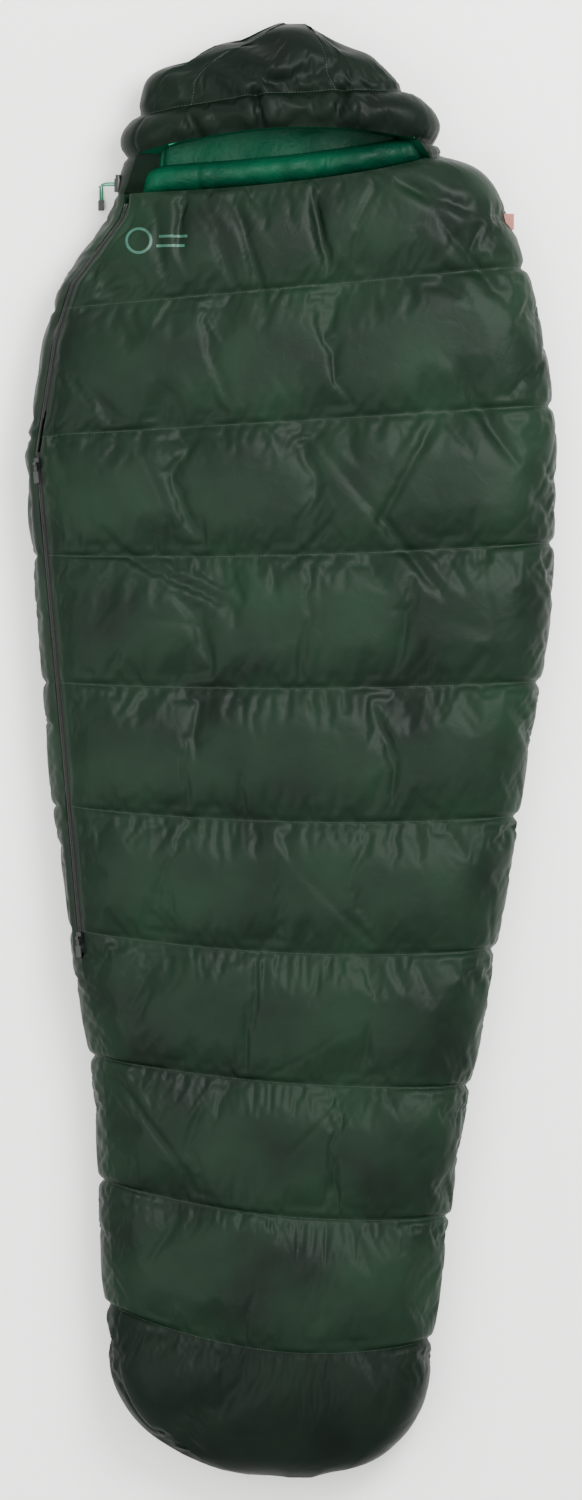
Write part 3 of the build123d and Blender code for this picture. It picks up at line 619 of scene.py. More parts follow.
def patch_normals(patch: np.ndarray) -> np.ndarray:
    """Give unit directions square to a patch, outward for rows to the hood and columns over the top."""
    around, along = np.gradient(patch, axis=1), np.gradient(patch, axis=0)
    out = np.cross(around, along)
    return out / np.maximum(np.linalg.norm(out, axis=2), 1e-9)[..., None]


@dataclass
class CreaseSizes:
    """Sizes of the small creases in the shell cloth, in millimetres."""

    pucker: float = 0.55
    pucker_reach: float = 34.0
    pucker_wave: float = 19.0
    line_depth: float = 1.5
    line_width: float = 0.09
    long_fold: float = 2.6
    seed: int = 3


class Creases:
    """Adds the creases that the simulation's grid is too coarse to show."""

    def __init__(self, sizes: CreaseSizes, seam_y: np.ndarray) -> None:
        """Keep the sizes and the places of the seams."""
        self.sizes, self.seam_y = sizes, seam_y

    def height(self, patch: np.ndarray, row_y: np.ndarray) -> np.ndarray:
        """Give how far each point of a patch is moved outwards.

        Args:
            patch: points by row and column, in millimetres.
            row_y: each row's place along the middle of the bag.

        Returns:
            Heights in millimetres by row and column.
        """
        s, flat = self.sizes, patch.reshape(-1, 3)
        arc = np.cumsum(np.linalg.norm(np.diff(patch, axis=1, prepend=patch[:, :1]), axis=2), axis=1)
        gap = np.abs(row_y[:, None] - self.seam_y[None, :])
        side = np.sign(row_y - self.seam_y[gap.argmin(axis=1)])
        near = gap.min(axis=1)[:, None]
        wander = outline_noise(flat, 60, s.seed).reshape(patch.shape[:2])
        strength = 0.55 + 0.45 * outline_noise(flat, 130, s.seed + 1).reshape(patch.shape[:2])
        wave = np.sin(2 * math.pi * arc / s.pucker_wave + 2.6 * wander + side[:, None])
        wave += 0.6 * np.sin(2 * math.pi * arc / (0.57 * s.pucker_wave) + 3.1 * wander)
        fade = np.exp(-near / s.pucker_reach) * np.clip(near / 4, 0.25, 1)
        total = s.pucker * wave * fade * strength
        for number, (lean, size, share) in enumerate(((0.9, 120, 1.0), (-0.5, 90, 0.7), (1.6, 70, 0.6))):
            turned = flat.copy()
            turned[:, 0] = flat[:, 0] * math.cos(lean) - flat[:, 1] * math.sin(lean)
            turned[:, 1] = (flat[:, 0] * math.sin(lean) + flat[:, 1] * math.cos(lean)) * 0.3
            field_ = outline_noise(turned, size, s.seed + 20 + number)
            mask = smoothstep(0.1, 0.9, outline_noise(flat, 210, s.seed + 40 + number))
            line = np.exp(-((field_ / s.line_width) ** 2)) * mask
            fold = s.long_fold * np.maximum(field_, 0) * mask
            total += share * (fold - s.line_depth * line).reshape(patch.shape[:2])
        return total * smoothstep(8, 45, patch[..., 2])


def doubled(patch: np.ndarray) -> np.ndarray:
    """Double a patch's points each way along straight lines."""
    for axis in (0, 1):
        moved = np.moveaxis(patch, axis, 0)
        out = np.empty((2 * len(moved) - 1,) + moved.shape[1:])
        out[::2], out[1::2] = moved, (moved[1:] + moved[:-1]) / 2
        patch = np.moveaxis(out, 0, axis)
    return patch


# ---------------------------------------------------------------------------- finishes
@dataclass(frozen=True)
class Cloth:
    """A woven finish: two colours, roughness, weave and crinkle, with sizes in millimetres."""

    name: str
    low: str
    high: str
    roughness: float
    weave: float
    weave_bump: float
    crinkle: float
    crinkle_bump: float
    gloss: float = 0.3


@dataclass(frozen=True)
class Plain:
    """A plain finish: colour, roughness, metal and bump, with sizes in millimetres."""

    name: str
    colour: str
    roughness: float
    metal: float = 0.0
    grain: float = 0.0
    grain_bump: float = 0.0
    two_tone: Optional[str] = None
    marks: float = 30.0


TAFFETA = Cloth("shell_taffeta", "06120a", "0e2114", 0.46, 0.55, 0.05, 26.0, 0.35, 0.09)
# A darker copy of the shell taffeta. On the foot panel it is painted shade, standing in for the light falling
# off towards the foot end; on the hood gores and brim it makes the cloth darker.
TAFFETA_DARK = Cloth("darker_taffeta_painted_foot_shade", "040b06", "09150d", 0.46, 0.55, 0.05, 26.0, 0.35, 0.07)
TEAL = Cloth("lining_taffeta", "011f15", "033b27", 0.45, 0.5, 0.05, 13.0, 0.9, 0.08)
TAPE_CLOTH = Cloth("zip_tape_weave", "0c100d", "181d19", 0.72, 1.1, 0.25, 9.0, 0.1)
LABEL_CLOTH = Cloth("label_weave", "7c5148", "946359", 0.7, 0.7, 0.2, 14.0, 0.15)
WADDING = Cloth("wadding", "c9cac4", "dcddd8", 0.9, 2.2, 0.3, 20.0, 0.4)
CORD_CLOTH = Cloth("cord_braid", "0c5a3c", "157a58", 0.62, 0.9, 0.35, 8.0, 0.1)
COIL_PLASTIC = Plain("zip_coil_nylon", "141614", 0.34, 0.0, 0.5, 0.05, "1c1f1c", 12.0)
SLIDER_METAL = Plain("slider_enamel", "121413", 0.3, 0.55, 0.8, 0.05, "1c1f1e", 9.0)
ZIP_METAL = Plain("zip_stop_metal", "1c1e1d", 0.32, 0.8, 0.6, 0.06, "2a2d2b", 6.0)
GRIP_RUBBER = Plain("grip_rubber", "101211", 0.62, 0.0, 0.7, 0.12, "171a18", 9.0)
LOCK_PLASTIC = Plain("lock_plastic", "0f1110", 0.38, 0.0, 0.9, 0.08, "171a18", 11.0)
SPRING = Plain("spring_steel", "9a9c9e", 0.25, 1.0, 0.5, 0.04, "8a8c8e", 6.0)
PRINT = Plain("print_ink", "05382a", 0.5, 0.0, 1.2, 0.12, "074433", 18.0)
THREAD = Plain("seam_thread", "1a2a1e", 0.6, 0.0, 0.4, 0.1, "223527", 9.0)
FLOOR_PAPER = Plain("studio_paper", "f8f7f5", 0.9)


class NodeTree:
    """A material's node tree with one small function for adding a node."""

    def __init__(self, name: str) -> None:
        """Make a material with an empty node tree.

        Args:
            name: the material's name.
        """
        self.material = bpy.data.materials.new(name)
        self.material.use_nodes = True
        self.tree = self.material.node_tree
        self.tree.nodes.clear()

    def add(self, kind: str, settings: Optional[dict] = None, **inputs: object) -> bpy.types.Node:
        """Add a node, with its settings and its inputs.

        Args:
            kind: the node's type name, without "ShaderNode".
            settings: attributes of the node.
            inputs: a value or an output socket for each input; underscores stand for spaces.

        Returns:
            The node.
        """
        node = self.tree.nodes.new("ShaderNode" + kind)
        for key, value in (settings or {}).items():
            setattr(node, key, value)
        for key, value in inputs.items():
            name = key.replace("_", " ").strip()
            socket = node.inputs[int(name)] if name.isdigit() else node.inputs[name]
            if isinstance(value, bpy.types.NodeSocket):
                self.tree.links.new(value, socket)
            else:
                socket.default_value = value
        return node

    def ramp(self, value: bpy.types.NodeSocket, stops: Sequence[tuple[float, tuple]]) -> bpy.types.NodeSocket:
        """Turn a value into a colour by a ramp of stops."""
        node = self.add("ValToRGB", None, Fac=value)
        elements = node.color_ramp.elements
        while len(elements) < len(stops):
            elements.new(0.5)
        for element, (place, colour) in zip(elements, stops):
            element.position, element.color = place, colour
        return node.outputs["Color"]


class Finishes:
    """The materials, each made once."""

    def __init__(self) -> None:
        """Make every material of the bag."""
        self.shell = self.cloth(TAFFETA)
        self.dark = self.cloth(TAFFETA_DARK)
        self.lining = self.cloth(TEAL)
        self.tape = self.cloth(TAPE_CLOTH)
        self.label = self.cloth(LABEL_CLOTH)
        self.wadding = self.cloth(WADDING)
        self.cord = self.cloth(CORD_CLOTH)
        self.coil = self.plain(COIL_PLASTIC)
        self.slider = self.plain(SLIDER_METAL)
        self.zip_metal = self.plain(ZIP_METAL)
        self.grip = self.plain(GRIP_RUBBER)
        self.lock = self.plain(LOCK_PLASTIC)
        self.spring = self.plain(SPRING)
        self.print = self.plain(PRINT)
        self.thread = self.plain(THREAD)

    def cloth(self, finish: Cloth) -> bpy.types.Material:
        """Make a woven material with colour variation, weave and crinkles.

        Args:
            finish: its values.

        Returns:
            The material.
        """
        t = NodeTree(finish.name)
        place = t.add("TexCoord").outputs["Object"]
        weave_scale = 1 / (finish.weave * MM)
        threads = [
            t.add("TexWave", {"wave_type": "BANDS", "bands_direction": way, "wave_profile": "SIN"},
                  Vector=place, Scale=weave_scale / 20, Distortion=0.6).outputs["Fac"]
            for way in ("X", "Y")
        ]
        weave = t.add("Math", {"operation": "MULTIPLY"}, **{"0": threads[0], "1": threads[1]}).outputs[0]
        patches = t.add("TexNoise", None, Vector=place, Scale=1 / (140 * MM), Detail=3.0).outputs["Fac"]
        crinkle = t.add("TexNoise", None, Vector=place, Scale=1 / (finish.crinkle * MM), Detail=4.0,
                        Roughness=0.55, Distortion=0.7).outputs["Fac"]
        colour = t.ramp(patches, [(0.32, linear(finish.low)), (0.68, linear(finish.high))])
        rough = t.add("MapRange", None, Value=patches, From_Min=0.3, From_Max=0.7,
                      To_Min=finish.roughness - 0.04, To_Max=finish.roughness + 0.06).outputs[0]
        small = t.add("Bump", None, Strength=finish.weave_bump, Distance=0.15 * MM, Height=weave)
        large = t.add("Bump", None, Strength=finish.crinkle_bump, Distance=2.2 * MM, Height=crinkle,
                      Normal=small.outputs["Normal"])
        shader = t.add("BsdfPrincipled", None, Base_Color=colour, Roughness=rough,
                       Normal=large.outputs["Normal"], Specular_IOR_Level=finish.gloss)
        t.add("OutputMaterial", None, Surface=shader.outputs["BSDF"])
        return t.material

    def plain(self, finish: Plain) -> bpy.types.Material:
        """Make a plain material, with slight variation and grain where it has them.

        Args:
            finish: its values.

        Returns:
            The material.
        """
        t = NodeTree(finish.name)
        shader = t.add("BsdfPrincipled", None, Base_Color=linear(finish.colour),
                       Roughness=finish.roughness, Metallic=finish.metal)
        place = t.add("TexCoord").outputs["Object"]
        if finish.two_tone:
            marks = t.add("TexNoise", None, Vector=place, Scale=1 / (finish.marks * MM), Detail=3.0)
            colour = t.ramp(marks.outputs["Fac"],
                            [(0.35, linear(finish.colour)), (0.65, linear(finish.two_tone))])
            t.tree.links.new(colour, shader.inputs["Base Color"])
        if finish.grain:
            grain = t.add("TexNoise", None, Vector=place, Scale=1 / (finish.grain * MM), Detail=2.0)
            bump = t.add("Bump", None, Strength=finish.grain_bump, Distance=0.2 * MM,
                         Height=grain.outputs["Fac"])
            t.tree.links.new(bump.outputs["Normal"], shader.inputs["Normal"])
        t.add("OutputMaterial", None, Surface=shader.outputs["BSDF"])
        return t.material


# ---------------------------------------------------------------------------- quilt pieces
class Panel(Enum):
    """A sewn panel of the quilt's outer skin."""

    FOOT = "quilt_foot"
    TOP = "quilt_top"
    BOTTOM = "quilt_bottom"
    BRIM = "hood_brim_roll"
    HOOD_LEFT = "hood_gore_left"
    HOOD_MIDDLE = "hood_gore_middle"
    HOOD_RIGHT = "hood_gore_right"


class PanelMap:
    """Says which panel each quad of the quilt's grid belongs to."""

    BOTTOM_SEAM_X = (-150.0, 66.0)

    def __init__(self, skin: QuiltSkin) -> None:
        """Work out the limits of the panels in rows and columns."""
        self.grid = g = skin.grid
        self.left, self.right = skin.stitching.gore_columns()
        row = g.seam_row[Seam.CREASE]
        under = np.array([g.points[g.index(row, c), 0] for c in range(g.form.top_columns, g.columns)])
        self.under = [int(np.argmin(np.abs(under - x))) + g.form.top_columns for x in self.BOTTOM_SEAM_X]
        row = g.seam_row[Seam.BRIM]
        across = np.array([g.across[g.index(row, c)] for c in range(g.form.top_columns)])
        self.face = [int(np.argmin(np.abs(across - a))) for a in (g.sizes.face_low, g.sizes.face_high)]

    def panel(self, row: int, column: int) -> Optional[Panel]:
        """Give the panel of a quad, or None where the face opening is."""
        g = self.grid
        over = column < g.form.top_columns
        facing = over and self.face[0] <= column < self.face[1]
        if row < g.seam_row[Seam.FOOT]:
            return Panel.FOOT
        if row < g.seam_row[Seam.NECK]:
            return Panel.TOP if over else Panel.BOTTOM
        if facing and row < g.seam_row[Seam.BRIM]:
            return None
        if facing and row < g.seam_row[Seam.CREASE]:
            return Panel.BRIM
        if over:
            if column < self.left:
                return Panel.HOOD_LEFT
            return Panel.HOOD_MIDDLE if column < self.right else Panel.HOOD_RIGHT
        if column < self.under[1]:
            return Panel.HOOD_RIGHT
        return Panel.HOOD_MIDDLE if column < self.under[0] else Panel.HOOD_LEFT

    def mask(self, wanted: Callable[[Optional[Panel], int], bool]) -> np.ndarray:
        """Give the grid's quads, by row and column, for which wanted says yes."""
        g = self.grid
        return np.array([
            [wanted(self.panel(r, c), c) for c in range(g.columns)] for r in range(g.rows - 1)
        ])


class SkinMesher:
    """Turns masks of quads into pieces with walls at their edges."""

    def __init__(self, outer: np.ndarray, inner: np.ndarray) -> None:
        """Keep the outer and inner points, by row and column, both ends of a row at the zip."""
        self.outer, self.inner = outer, inner

    def piece(self, name: str, mask: np.ndarray) -> bpy.types.Object:
        """Make a piece of the outer skin, whose edges turn inwards.

        Args:
            name: the piece's name.
            mask: its quads, by row and column.

        Returns:
            The piece.
        """
        rows, count = self.outer.shape[:2]
        r, c = np.nonzero(mask)
        corner = r * count + c
        quads = np.stack([corner, corner + 1, corner + 1 + count, corner + count], axis=1)
        sides = np.concatenate([quads[:, [k, (k + 1) % 4]] for k in range(4)])
        key = sides[:, 0].astype(np.int64) * rows * count + sides[:, 1]
        back = sides[:, 1].astype(np.int64) * rows * count + sides[:, 0]
        open_sides = sides[~np.isin(key, back)]
        rim = np.unique(open_sides)
        used = np.unique(quads)
        number = np.full(rows * count, -1)
        number[used] = np.arange(len(used))
        points = self.outer.reshape(-1, 3)
        turned = self.inner.reshape(-1, 3)[rim]
        low = np.full(rows * count, -1)
        low[rim] = len(used) + np.arange(len(rim))
        walls = np.stack([
            number[open_sides[:, 1]], number[open_sides[:, 0]], low[open_sides[:, 0]], low[open_sides[:, 1]]
        ], axis=1)
        faces = np.concatenate([number[quads], walls])
        obj = mesh_object(name, np.concatenate([points[used], turned]) * MM, faces.tolist())
        at_zip = np.isin(open_sides % count, (0, count - 1)).all(axis=1)
        finish = np.concatenate([np.zeros(len(quads), np.int32), np.where(at_zip, 0, 1).astype(np.int32)])
        obj.data.polygons.foreach_set("material_index", finish)
        sharp = obj.data.attributes.new("sharp_edge", "BOOLEAN", "EDGE")
        rims = {tuple(sorted(e)) for e in number[open_sides].tolist()}
        flags = [tuple(sorted(e.vertices)) in rims for e in obj.data.edges]
        sharp.data.foreach_set("value", flags)
        return obj

    def lining(self, name: str, mask: np.ndarray) -> bpy.types.Object:
        """Make a piece of the lining, facing the inside of the bag."""
        rows, count = self.inner.shape[:2]
        r, c = np.nonzero(mask)
        corner = r * count + c
        quads = np.stack([corner, corner + count, corner + 1 + count, corner + 1], axis=1)
        used = np.unique(quads)
        number = np.full(rows * count, -1)
        number[used] = np.arange(len(used))
        points = self.inner.reshape(-1, 3)[used]
        return mesh_object(name, points * MM, number[quads].tolist())


# ---------------------------------------------------------------------------- repeated pieces
class Repeat:
    """A Geometry Nodes group that sets rounded beads along lines, at an even spacing."""

    def __init__(self) -> None:
        """Build the group: line, resampled points, one bead each, realised and given a material."""
        self.group = bpy.data.node_groups.new("beads_along_line", "GeometryNodeTree")
        face = self.group.interface
        kinds = [("Geometry", "NodeSocketGeometry"), ("Spacing", "NodeSocketFloat"),
                 ("Length", "NodeSocketFloat"), ("Thickness", "NodeSocketFloat"),
                 ("Spread", "NodeSocketFloat"), ("Seed", "NodeSocketInt"),
                 ("Finish", "NodeSocketMaterial")]
        self.sockets = {
            name: face.new_socket(name, in_out="INPUT", socket_type=kind).identifier
            for name, kind in kinds
        }
        face.new_socket("Geometry", in_out="OUTPUT", socket_type="NodeSocketGeometry")
        given = self._add("NodeGroupInput").outputs
        line = self._add("GeometryNodeMeshToCurve", 0, given["Geometry"])
        even = self._add("GeometryNodeResampleCurve", "Curve", line.outputs[0])
        even.mode = "LENGTH"
        self.group.links.new(given["Spacing"], even.inputs["Length"])
        points = self._add("GeometryNodeCurveToPoints", "Curve", even.outputs[0])
        points.mode = "EVALUATED"
        bead = self._add("GeometryNodeMeshUVSphere")
        for name, value in (("Segments", 8), ("Rings", 5), ("Radius", 0.5)):
            bead.inputs[name].default_value = value
        low = self._add("ShaderNodeMath", 1, given["Spread"])
        low.operation = "SUBTRACT"
        low.inputs[0].default_value = 1.0
        high = self._add("ShaderNodeMath", 1, given["Spread"])
        high.inputs[0].default_value = 1.0
        share = self._add("FunctionNodeRandomValue", "Seed", given["Seed"])
        share.data_type = "FLOAT"
        self.group.links.new(low.outputs[0], share.inputs[2])
        self.group.links.new(high.outputs[0], share.inputs[3])
        long = self._add("ShaderNodeMath", 0, given["Length"])
        long.operation = "MULTIPLY"
        self.group.links.new(share.outputs[1], long.inputs[1])
        size = self._add("ShaderNodeCombineXYZ", 0, given["Thickness"])
        self.group.links.new(given["Thickness"], size.inputs[1])
        self.group.links.new(long.outputs[0], size.inputs[2])
        set_out = self._add("GeometryNodeInstanceOnPoints", "Points", points.outputs["Points"])
        self.group.links.new(bead.outputs["Mesh"], set_out.inputs["Instance"])
        self.group.links.new(points.outputs["Rotation"], set_out.inputs["Rotation"])
        self.group.links.new(size.outputs[0], set_out.inputs["Scale"])
        real = self._add("GeometryNodeRealizeInstances", 0, set_out.outputs[0])
        finish = self._add("GeometryNodeSetMaterial", "Geometry", real.outputs[0])
        self.group.links.new(given["Finish"], finish.inputs["Material"])
        self._add("NodeGroupOutput", 0, finish.outputs[0])

    def _add(self, kind: str, socket: object = None, source: object = None) -> bpy.types.Node:
        """Add a node, and join one of its inputs to a source."""
        node = self.group.nodes.new(kind)
        if source is not None:
            self.group.links.new(source, node.inputs[socket])
        return node

    def along(self, name: str, lines: Sequence[np.ndarray], values: dict[str, object]) -> bpy.types.Object:
        """Set beads along lines and turn them into one plain mesh.

        Args:
            name: the piece's name.
            lines: points of each line, in millimetres.
            values: the group's inputs by name.

        Returns:
            The piece.
        """
        points, edges = [], []
        for line in lines:
            edges += [(len(points) + k, len(points) + k + 1) for k in range(len(line) - 1)]
            points += [tuple(p * MM) for p in line]
        mesh = bpy.data.meshes.new(name)
        mesh.from_pydata(points, edges, [])
        obj = bpy.data.objects.new(name, mesh)
        bpy.context.scene.collection.objects.link(obj)
        modifier = obj.modifiers.new("Beads", "NODES")
        modifier.node_group = self.group
        for key, value in values.items():
            modifier[self.sockets[key]] = value
        baked(obj)
        obj.data.shade_smooth()
        return obj


# ---------------------------------------------------------------------------- the collar
@dataclass
class CollarSizes:
    """Sizes of the draft collar in millimetres."""

    start: float = 1.0
    depth: float = 43.0
    crest: float = 103.0
    front: float = 78.0
    back: float = 66.0
    columns: int = 180
    rows: int = 34
    fold: float = 3.0


class Collar:
    """The padded draft collar inside the neck, from its seam at the neck's edge to its stitched edge."""

    def __init__(self, sizes: CollarSizes, edge: np.ndarray) -> None:
        """Keep the sizes and the neck's edge as x and y, from the zip side to the other."""
        self.sizes, self.edge = sizes, edge

    def make(self, name: str) -> bpy.types.Object:
        """Make the collar as a closed roll.

        Args:
            name: the piece's name.

        Returns:
            The piece.
        """
        s = self.sizes
        low, high = self.edge[0, 0] + 22, self.edge[-1, 0] - 26
        x = np.linspace(low, high, s.columns)
        neck = np.interp(x, self.edge[:, 0], self.edge[:, 1])
        turn = np.linspace(-0.15 * math.pi, 1.0 * math.pi, s.rows)
        ends = np.sqrt(np.clip(1 - np.abs(np.linspace(-1, 1, s.columns)) ** 8, 0, 1))
        points = []
        for angle in turn:
            across = (1 - math.cos(angle)) / 2
            height = math.sin(angle)
            base = s.front + (s.back - s.front) * across
            depth = s.start + s.depth * across
            points.append(np.stack([
                x, neck + depth * (0.55 + 0.45 * ends), base + (s.crest - base) * height * ends
            ], axis=1))
        grid = np.array(points)
        flat = grid.reshape(-1, 3)
        bump = s.fold * outline_noise(flat * [1, 0.5, 0.5], 58, 31)
        bump += 1.6 * outline_noise(flat * [1.4, 0.6, 0.4], 24, 32)
        crease = outline_noise(flat * [1.0, 0.35, 0.3], 46, 33)
        bump -= 3.2 * np.exp(-((crease / 0.16) ** 2))
        shape = np.clip(np.sin(np.linspace(0, math.pi, s.rows)), 0, 1)
        flat[:, 2] += bump * np.repeat(shape, s.columns)
        faces = [
            (r * s.columns + c, r * s.columns + c + 1, (r + 1) * s.columns + c + 1, (r + 1) * s.columns + c)
            for r in range(s.rows - 1) for c in range(s.columns - 1)
        ]
        under = len(flat)
        below = grid[[0, -1]].copy()
        below[..., 2] = 56
        flat = np.concatenate([flat, below.reshape(-1, 3)])
        last, n = (s.rows - 1) * s.columns, s.columns
        for c in range(n - 1):
            faces.append((under + c, under + c + 1, c + 1, c))
            faces.append((last + c, last + c + 1, under + n + c + 1, under + n + c))
            faces.append((under + n + c, under + n + c + 1, under + c + 1, under + c))
        return mesh_object(name, flat * MM, faces)


# ---------------------------------------------------------------------------- the whole bag
@dataclass(frozen=True)
class StudioSizes:
    """The studio in metres and watts."""

    view_height: float = 2.227
    lens: float = 200.0
    floor: float = 9.0
    key: float = 205.0
    fill: float = 80.0
    rim: float = 20.0
    world: float = 1.75


class SleepingBag:
    """Makes every piece of the bag that stands for, or is fixed to, the frame."""

    FOLD_ZIP = np.array([-374.6, 444.0])
    FOLD_OUT = np.array([-0.731, 0.682])
    BLEND = (-20.0, 45.0)
    LOCK = (-256.66, 838.0, 72.0)
    CORD = 2.6
    STRAND_LENGTHS = (0.108, 0.1092)
    HEAD_ROUTE = ((6, 3.7, 72), (-18, 3.7, 72), (-26, 2.7, 48), (-24, 1.7, 23), (-25, 0.7, 1.6),
                  (-25, -18, 1.6))
    FOOT_ROUTE = ((6, 0.3, 72), (-20, 0.3, 72), (-29.4, 0.1, 46), (-27.6, 0, 23), (-28.4, -0.2, 1.6),
                  (-28.4, -18, 1.6))

    def __init__(self, finishes: Finishes) -> None:
        """Shape the quilt's skin."""
        self.finishes = finishes
        sizes = QuiltSizes()
        form = BagForm(BagSizes(), sizes.top_columns, sizes.bottom_columns)
        self.grid = QuiltGrid(sizes, form)
        self.skin = QuiltSkin(self.grid)
        self.map = PanelMap(self.skin)
        outer = refined(self.skin.outer())
        inner = doubled(self.skin.closed_inner())
        rows = np.linspace(0, self.grid.rows - 1, len(outer))
        row_y = np.interp(rows, np.arange(self.grid.rows), self.grid.row_y)
        creases = Creases(CreaseSizes(), self.skin.stitching.stitched_y)
        outer = outer + patch_normals(outer) * creases.height(outer, row_y)[..., None]
        over = sizes.crest_room * np.tanh(np.maximum(outer[..., 2] - sizes.crest, 0) / sizes.crest_room)
        outer[..., 2] = np.clip(outer[..., 2], sizes.ground, sizes.crest) + over
        self.fine = outer
        self.mesher = SkinMesher(outer, inner)
        self.thin = SkinMesher(self.skin.closed_inner(), self.skin.closed_inner())

    def blend_to_flap(self, obj: bpy.types.Object) -> None:
        """Bake a piece's transform into its mesh."""
        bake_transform(obj)

    def quilts(self) -> None:
        """Make the panels of the outer skin."""
        stands_for = {
            Panel.FOOT: ("foot_shell", "foot_batting"),
            Panel.TOP: ("top_shell", "top_batting", "flap_shell", "flap_batting"),
            Panel.BOTTOM: ("bottom_shell", "bottom_batting"),
            Panel.BRIM: ("hood_brim",),
            Panel.HOOD_LEFT: ("hood_left_gore",),
            Panel.HOOD_MIDDLE: ("hood_centre_gore", "hood_batting"),
            Panel.HOOD_RIGHT: ("hood_right_gore",),
        }
        # The foot panel takes the darker taffeta as painted shade, where the light falls off towards the foot
        # end; the hood gores and brim take it too.
        dark = {Panel.HOOD_LEFT, Panel.HOOD_MIDDLE, Panel.HOOD_RIGHT, Panel.BRIM, Panel.FOOT}
        for panel, nodes in stands_for.items():
            mask = self.map.mask(lambda found, column: found is panel)
            mask = np.repeat(np.repeat(mask, 2, axis=0), 2, axis=1)
            obj = self.mesher.piece(panel.value, mask)
            obj.data.materials.append(self.finishes.dark if panel in dark else self.finishes.shell)
            obj.data.materials.append(self.finishes.lining)
            if panel is Panel.TOP:
                self.blend_to_flap(obj)
                self.top = obj
            else:
                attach(obj, "root")
            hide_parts(*nodes)
            LOG.info("%s: %d faces", obj.name, len(obj.data.polygons))

    def linings(self) -> None:
        """Make the lining of the foot, the two quilts and the hood."""
        hood = {Panel.HOOD_LEFT, Panel.HOOD_MIDDLE, Panel.HOOD_RIGHT, Panel.BRIM}
        stands_for = {
            "lining_foot": ({Panel.FOOT}, ("foot_lining",)),
            "lining_top": ({Panel.TOP}, ("top_lining", "flap_lining", "neck_facing", "flap_neck_facing")),
            "lining_bottom": ({Panel.BOTTOM}, ("bottom_lining",)),
            "lining_hood": (hood, ("hood_lining",)),
        }
        for name, (panels, nodes) in stands_for.items():
            mask = self.map.mask(lambda found, column: found in panels)
            obj = self.thin.lining(name, mask)
            obj.data.materials.append(self.finishes.lining)
            if name == "lining_top":
                self.blend_to_flap(obj)
            else:
                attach(obj, "root")
            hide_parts(*nodes)

    def collar(self) -> None:
        """Make the draft collar along the neck."""
        g = self.grid
        row = g.seam_row[Seam.NECK]
        edge = self.skin.coarse.reshape(g.rows, g.columns, 3)[row, :g.form.top_columns, :2]
        obj = Collar(CollarSizes(), edge[np.argsort(edge[:, 0])]).make("draft_collar_roll")
        obj.data.materials.append(self.finishes.lining)
        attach(obj, "root")
        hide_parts("draft_collar")

    def zip_row(self, low: float, high: float, side: float) -> np.ndarray:
        """Give a line along one row of the zip's teeth."""
        y = np.linspace(low, high, 160)
        at = self.skin.zip.at(y) + side * 2.0 * QuiltSkin.UP + 2.0 * QuiltSkin.OUT
        return np.stack([at[:, 0], y, at[:, 1]], axis=1)

    def zip_teeth(self, repeat: Repeat) -> None:
        """Set the teeth of the zip's three rows."""
        rows = {
            "zip_teeth_upper": (-294, 440, 1.0, "root", ("zip_coil_upper",)),
            "zip_teeth_lower": (-294, 802, -1.0, "root", ("zip_coil_lower",)),
            "zip_teeth_flap": (492, 802, 1.0, "chest_flap", ("flap_zip_coil",)),
        }
        for name, (low, high, side, body, nodes) in rows.items():
            values = {"Spacing": 1.9 * MM, "Length": 1.45 * MM, "Thickness": 2.2 * MM,
                      "Spread": 0.03, "Seed": 4, "Finish": self.finishes.coil}
            obj = repeat.along(name, [self.zip_row(low, high, side)], values)
            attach(obj, body)
            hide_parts(*nodes)

    def stitches(self, repeat: Repeat) -> None:
        """Set the visible stitches in the seams of the quilt."""
        g, fine = self.grid, self.fine
        top = slice(0, 2 * g.form.top_columns + 1)
        lift = patch_normals(fine) * 0.25
        lines = [(fine + lift)[2 * g.seam_row[s], top] for s in Seam if s not in (Seam.NECK, Seam.BRIM)]
        hood = [(fine + lift)[2 * g.seam_row[Seam.CREASE]:-4, 2 * c] for c in (self.map.left, self.map.right)]
        values = {"Spacing": 4.6 * MM, "Length": 3.2 * MM, "Thickness": 0.9 * MM,
                  "Spread": 0.12, "Seed": 9, "Finish": self.finishes.thread}
        across = repeat.along("seam_stitches_quilt", lines[:-1], values)
        self.blend_to_flap(across)
        crown = repeat.along("seam_stitches_hood", lines[-1:] + hood, values)
        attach(crown, "root")

    def print_mark(self) -> None:
        """Lay the ring and two bars of the printed mark on the flap's shell."""
        points, faces = [], []

        def patch(outline: Callable[[float, float], tuple[float, float]], rows: int, columns: int) -> None:
            """Add a grid of quads over an outline given from 0 to 1 each way."""
            start = len(points)
            points.extend(outline(r / rows, c / columns) for r in range(rows + 1) for c in range(columns + 1))
            for r in range(rows):
                for c in range(columns):
                    a = start + r * (columns + 1) + c
                    faces.append((a, a + 1, a + columns + 2, a + columns + 1))

        def ring(u: float, v: float) -> tuple[float, float]:
            """Go round the ring by v and across its line by u."""
            turn, radius = -2 * math.pi * v, 16 + 4 * u
            return (-225 + radius * math.cos(turn), 753 + radius * math.sin(turn))

        patch(ring, 3, 72)
        for x, y in ((-174, 759), (-178, 745)):
            patch(lambda u, v, x=x, y=y: (x + 42 * (v - 0.5), y + 4 * (u - 0.5)), 3, 28)
        tree = BVHTree.FromObject(self.top, bpy.context.evaluated_depsgraph_get())
        laid = []
        for x, y in points:
            hit, normal, _, _ = tree.ray_cast(Vector((x * MM, y * MM, 0.3)), Vector((0, 0, -1)))
            laid.append(tuple(hit + normal * 0.35 * MM))
        obj = mesh_object("flap_mark", np.array(laid), faces)
        obj.data.materials.append(self.finishes.print)
        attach(obj, "chest_flap")
        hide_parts("flap_print")

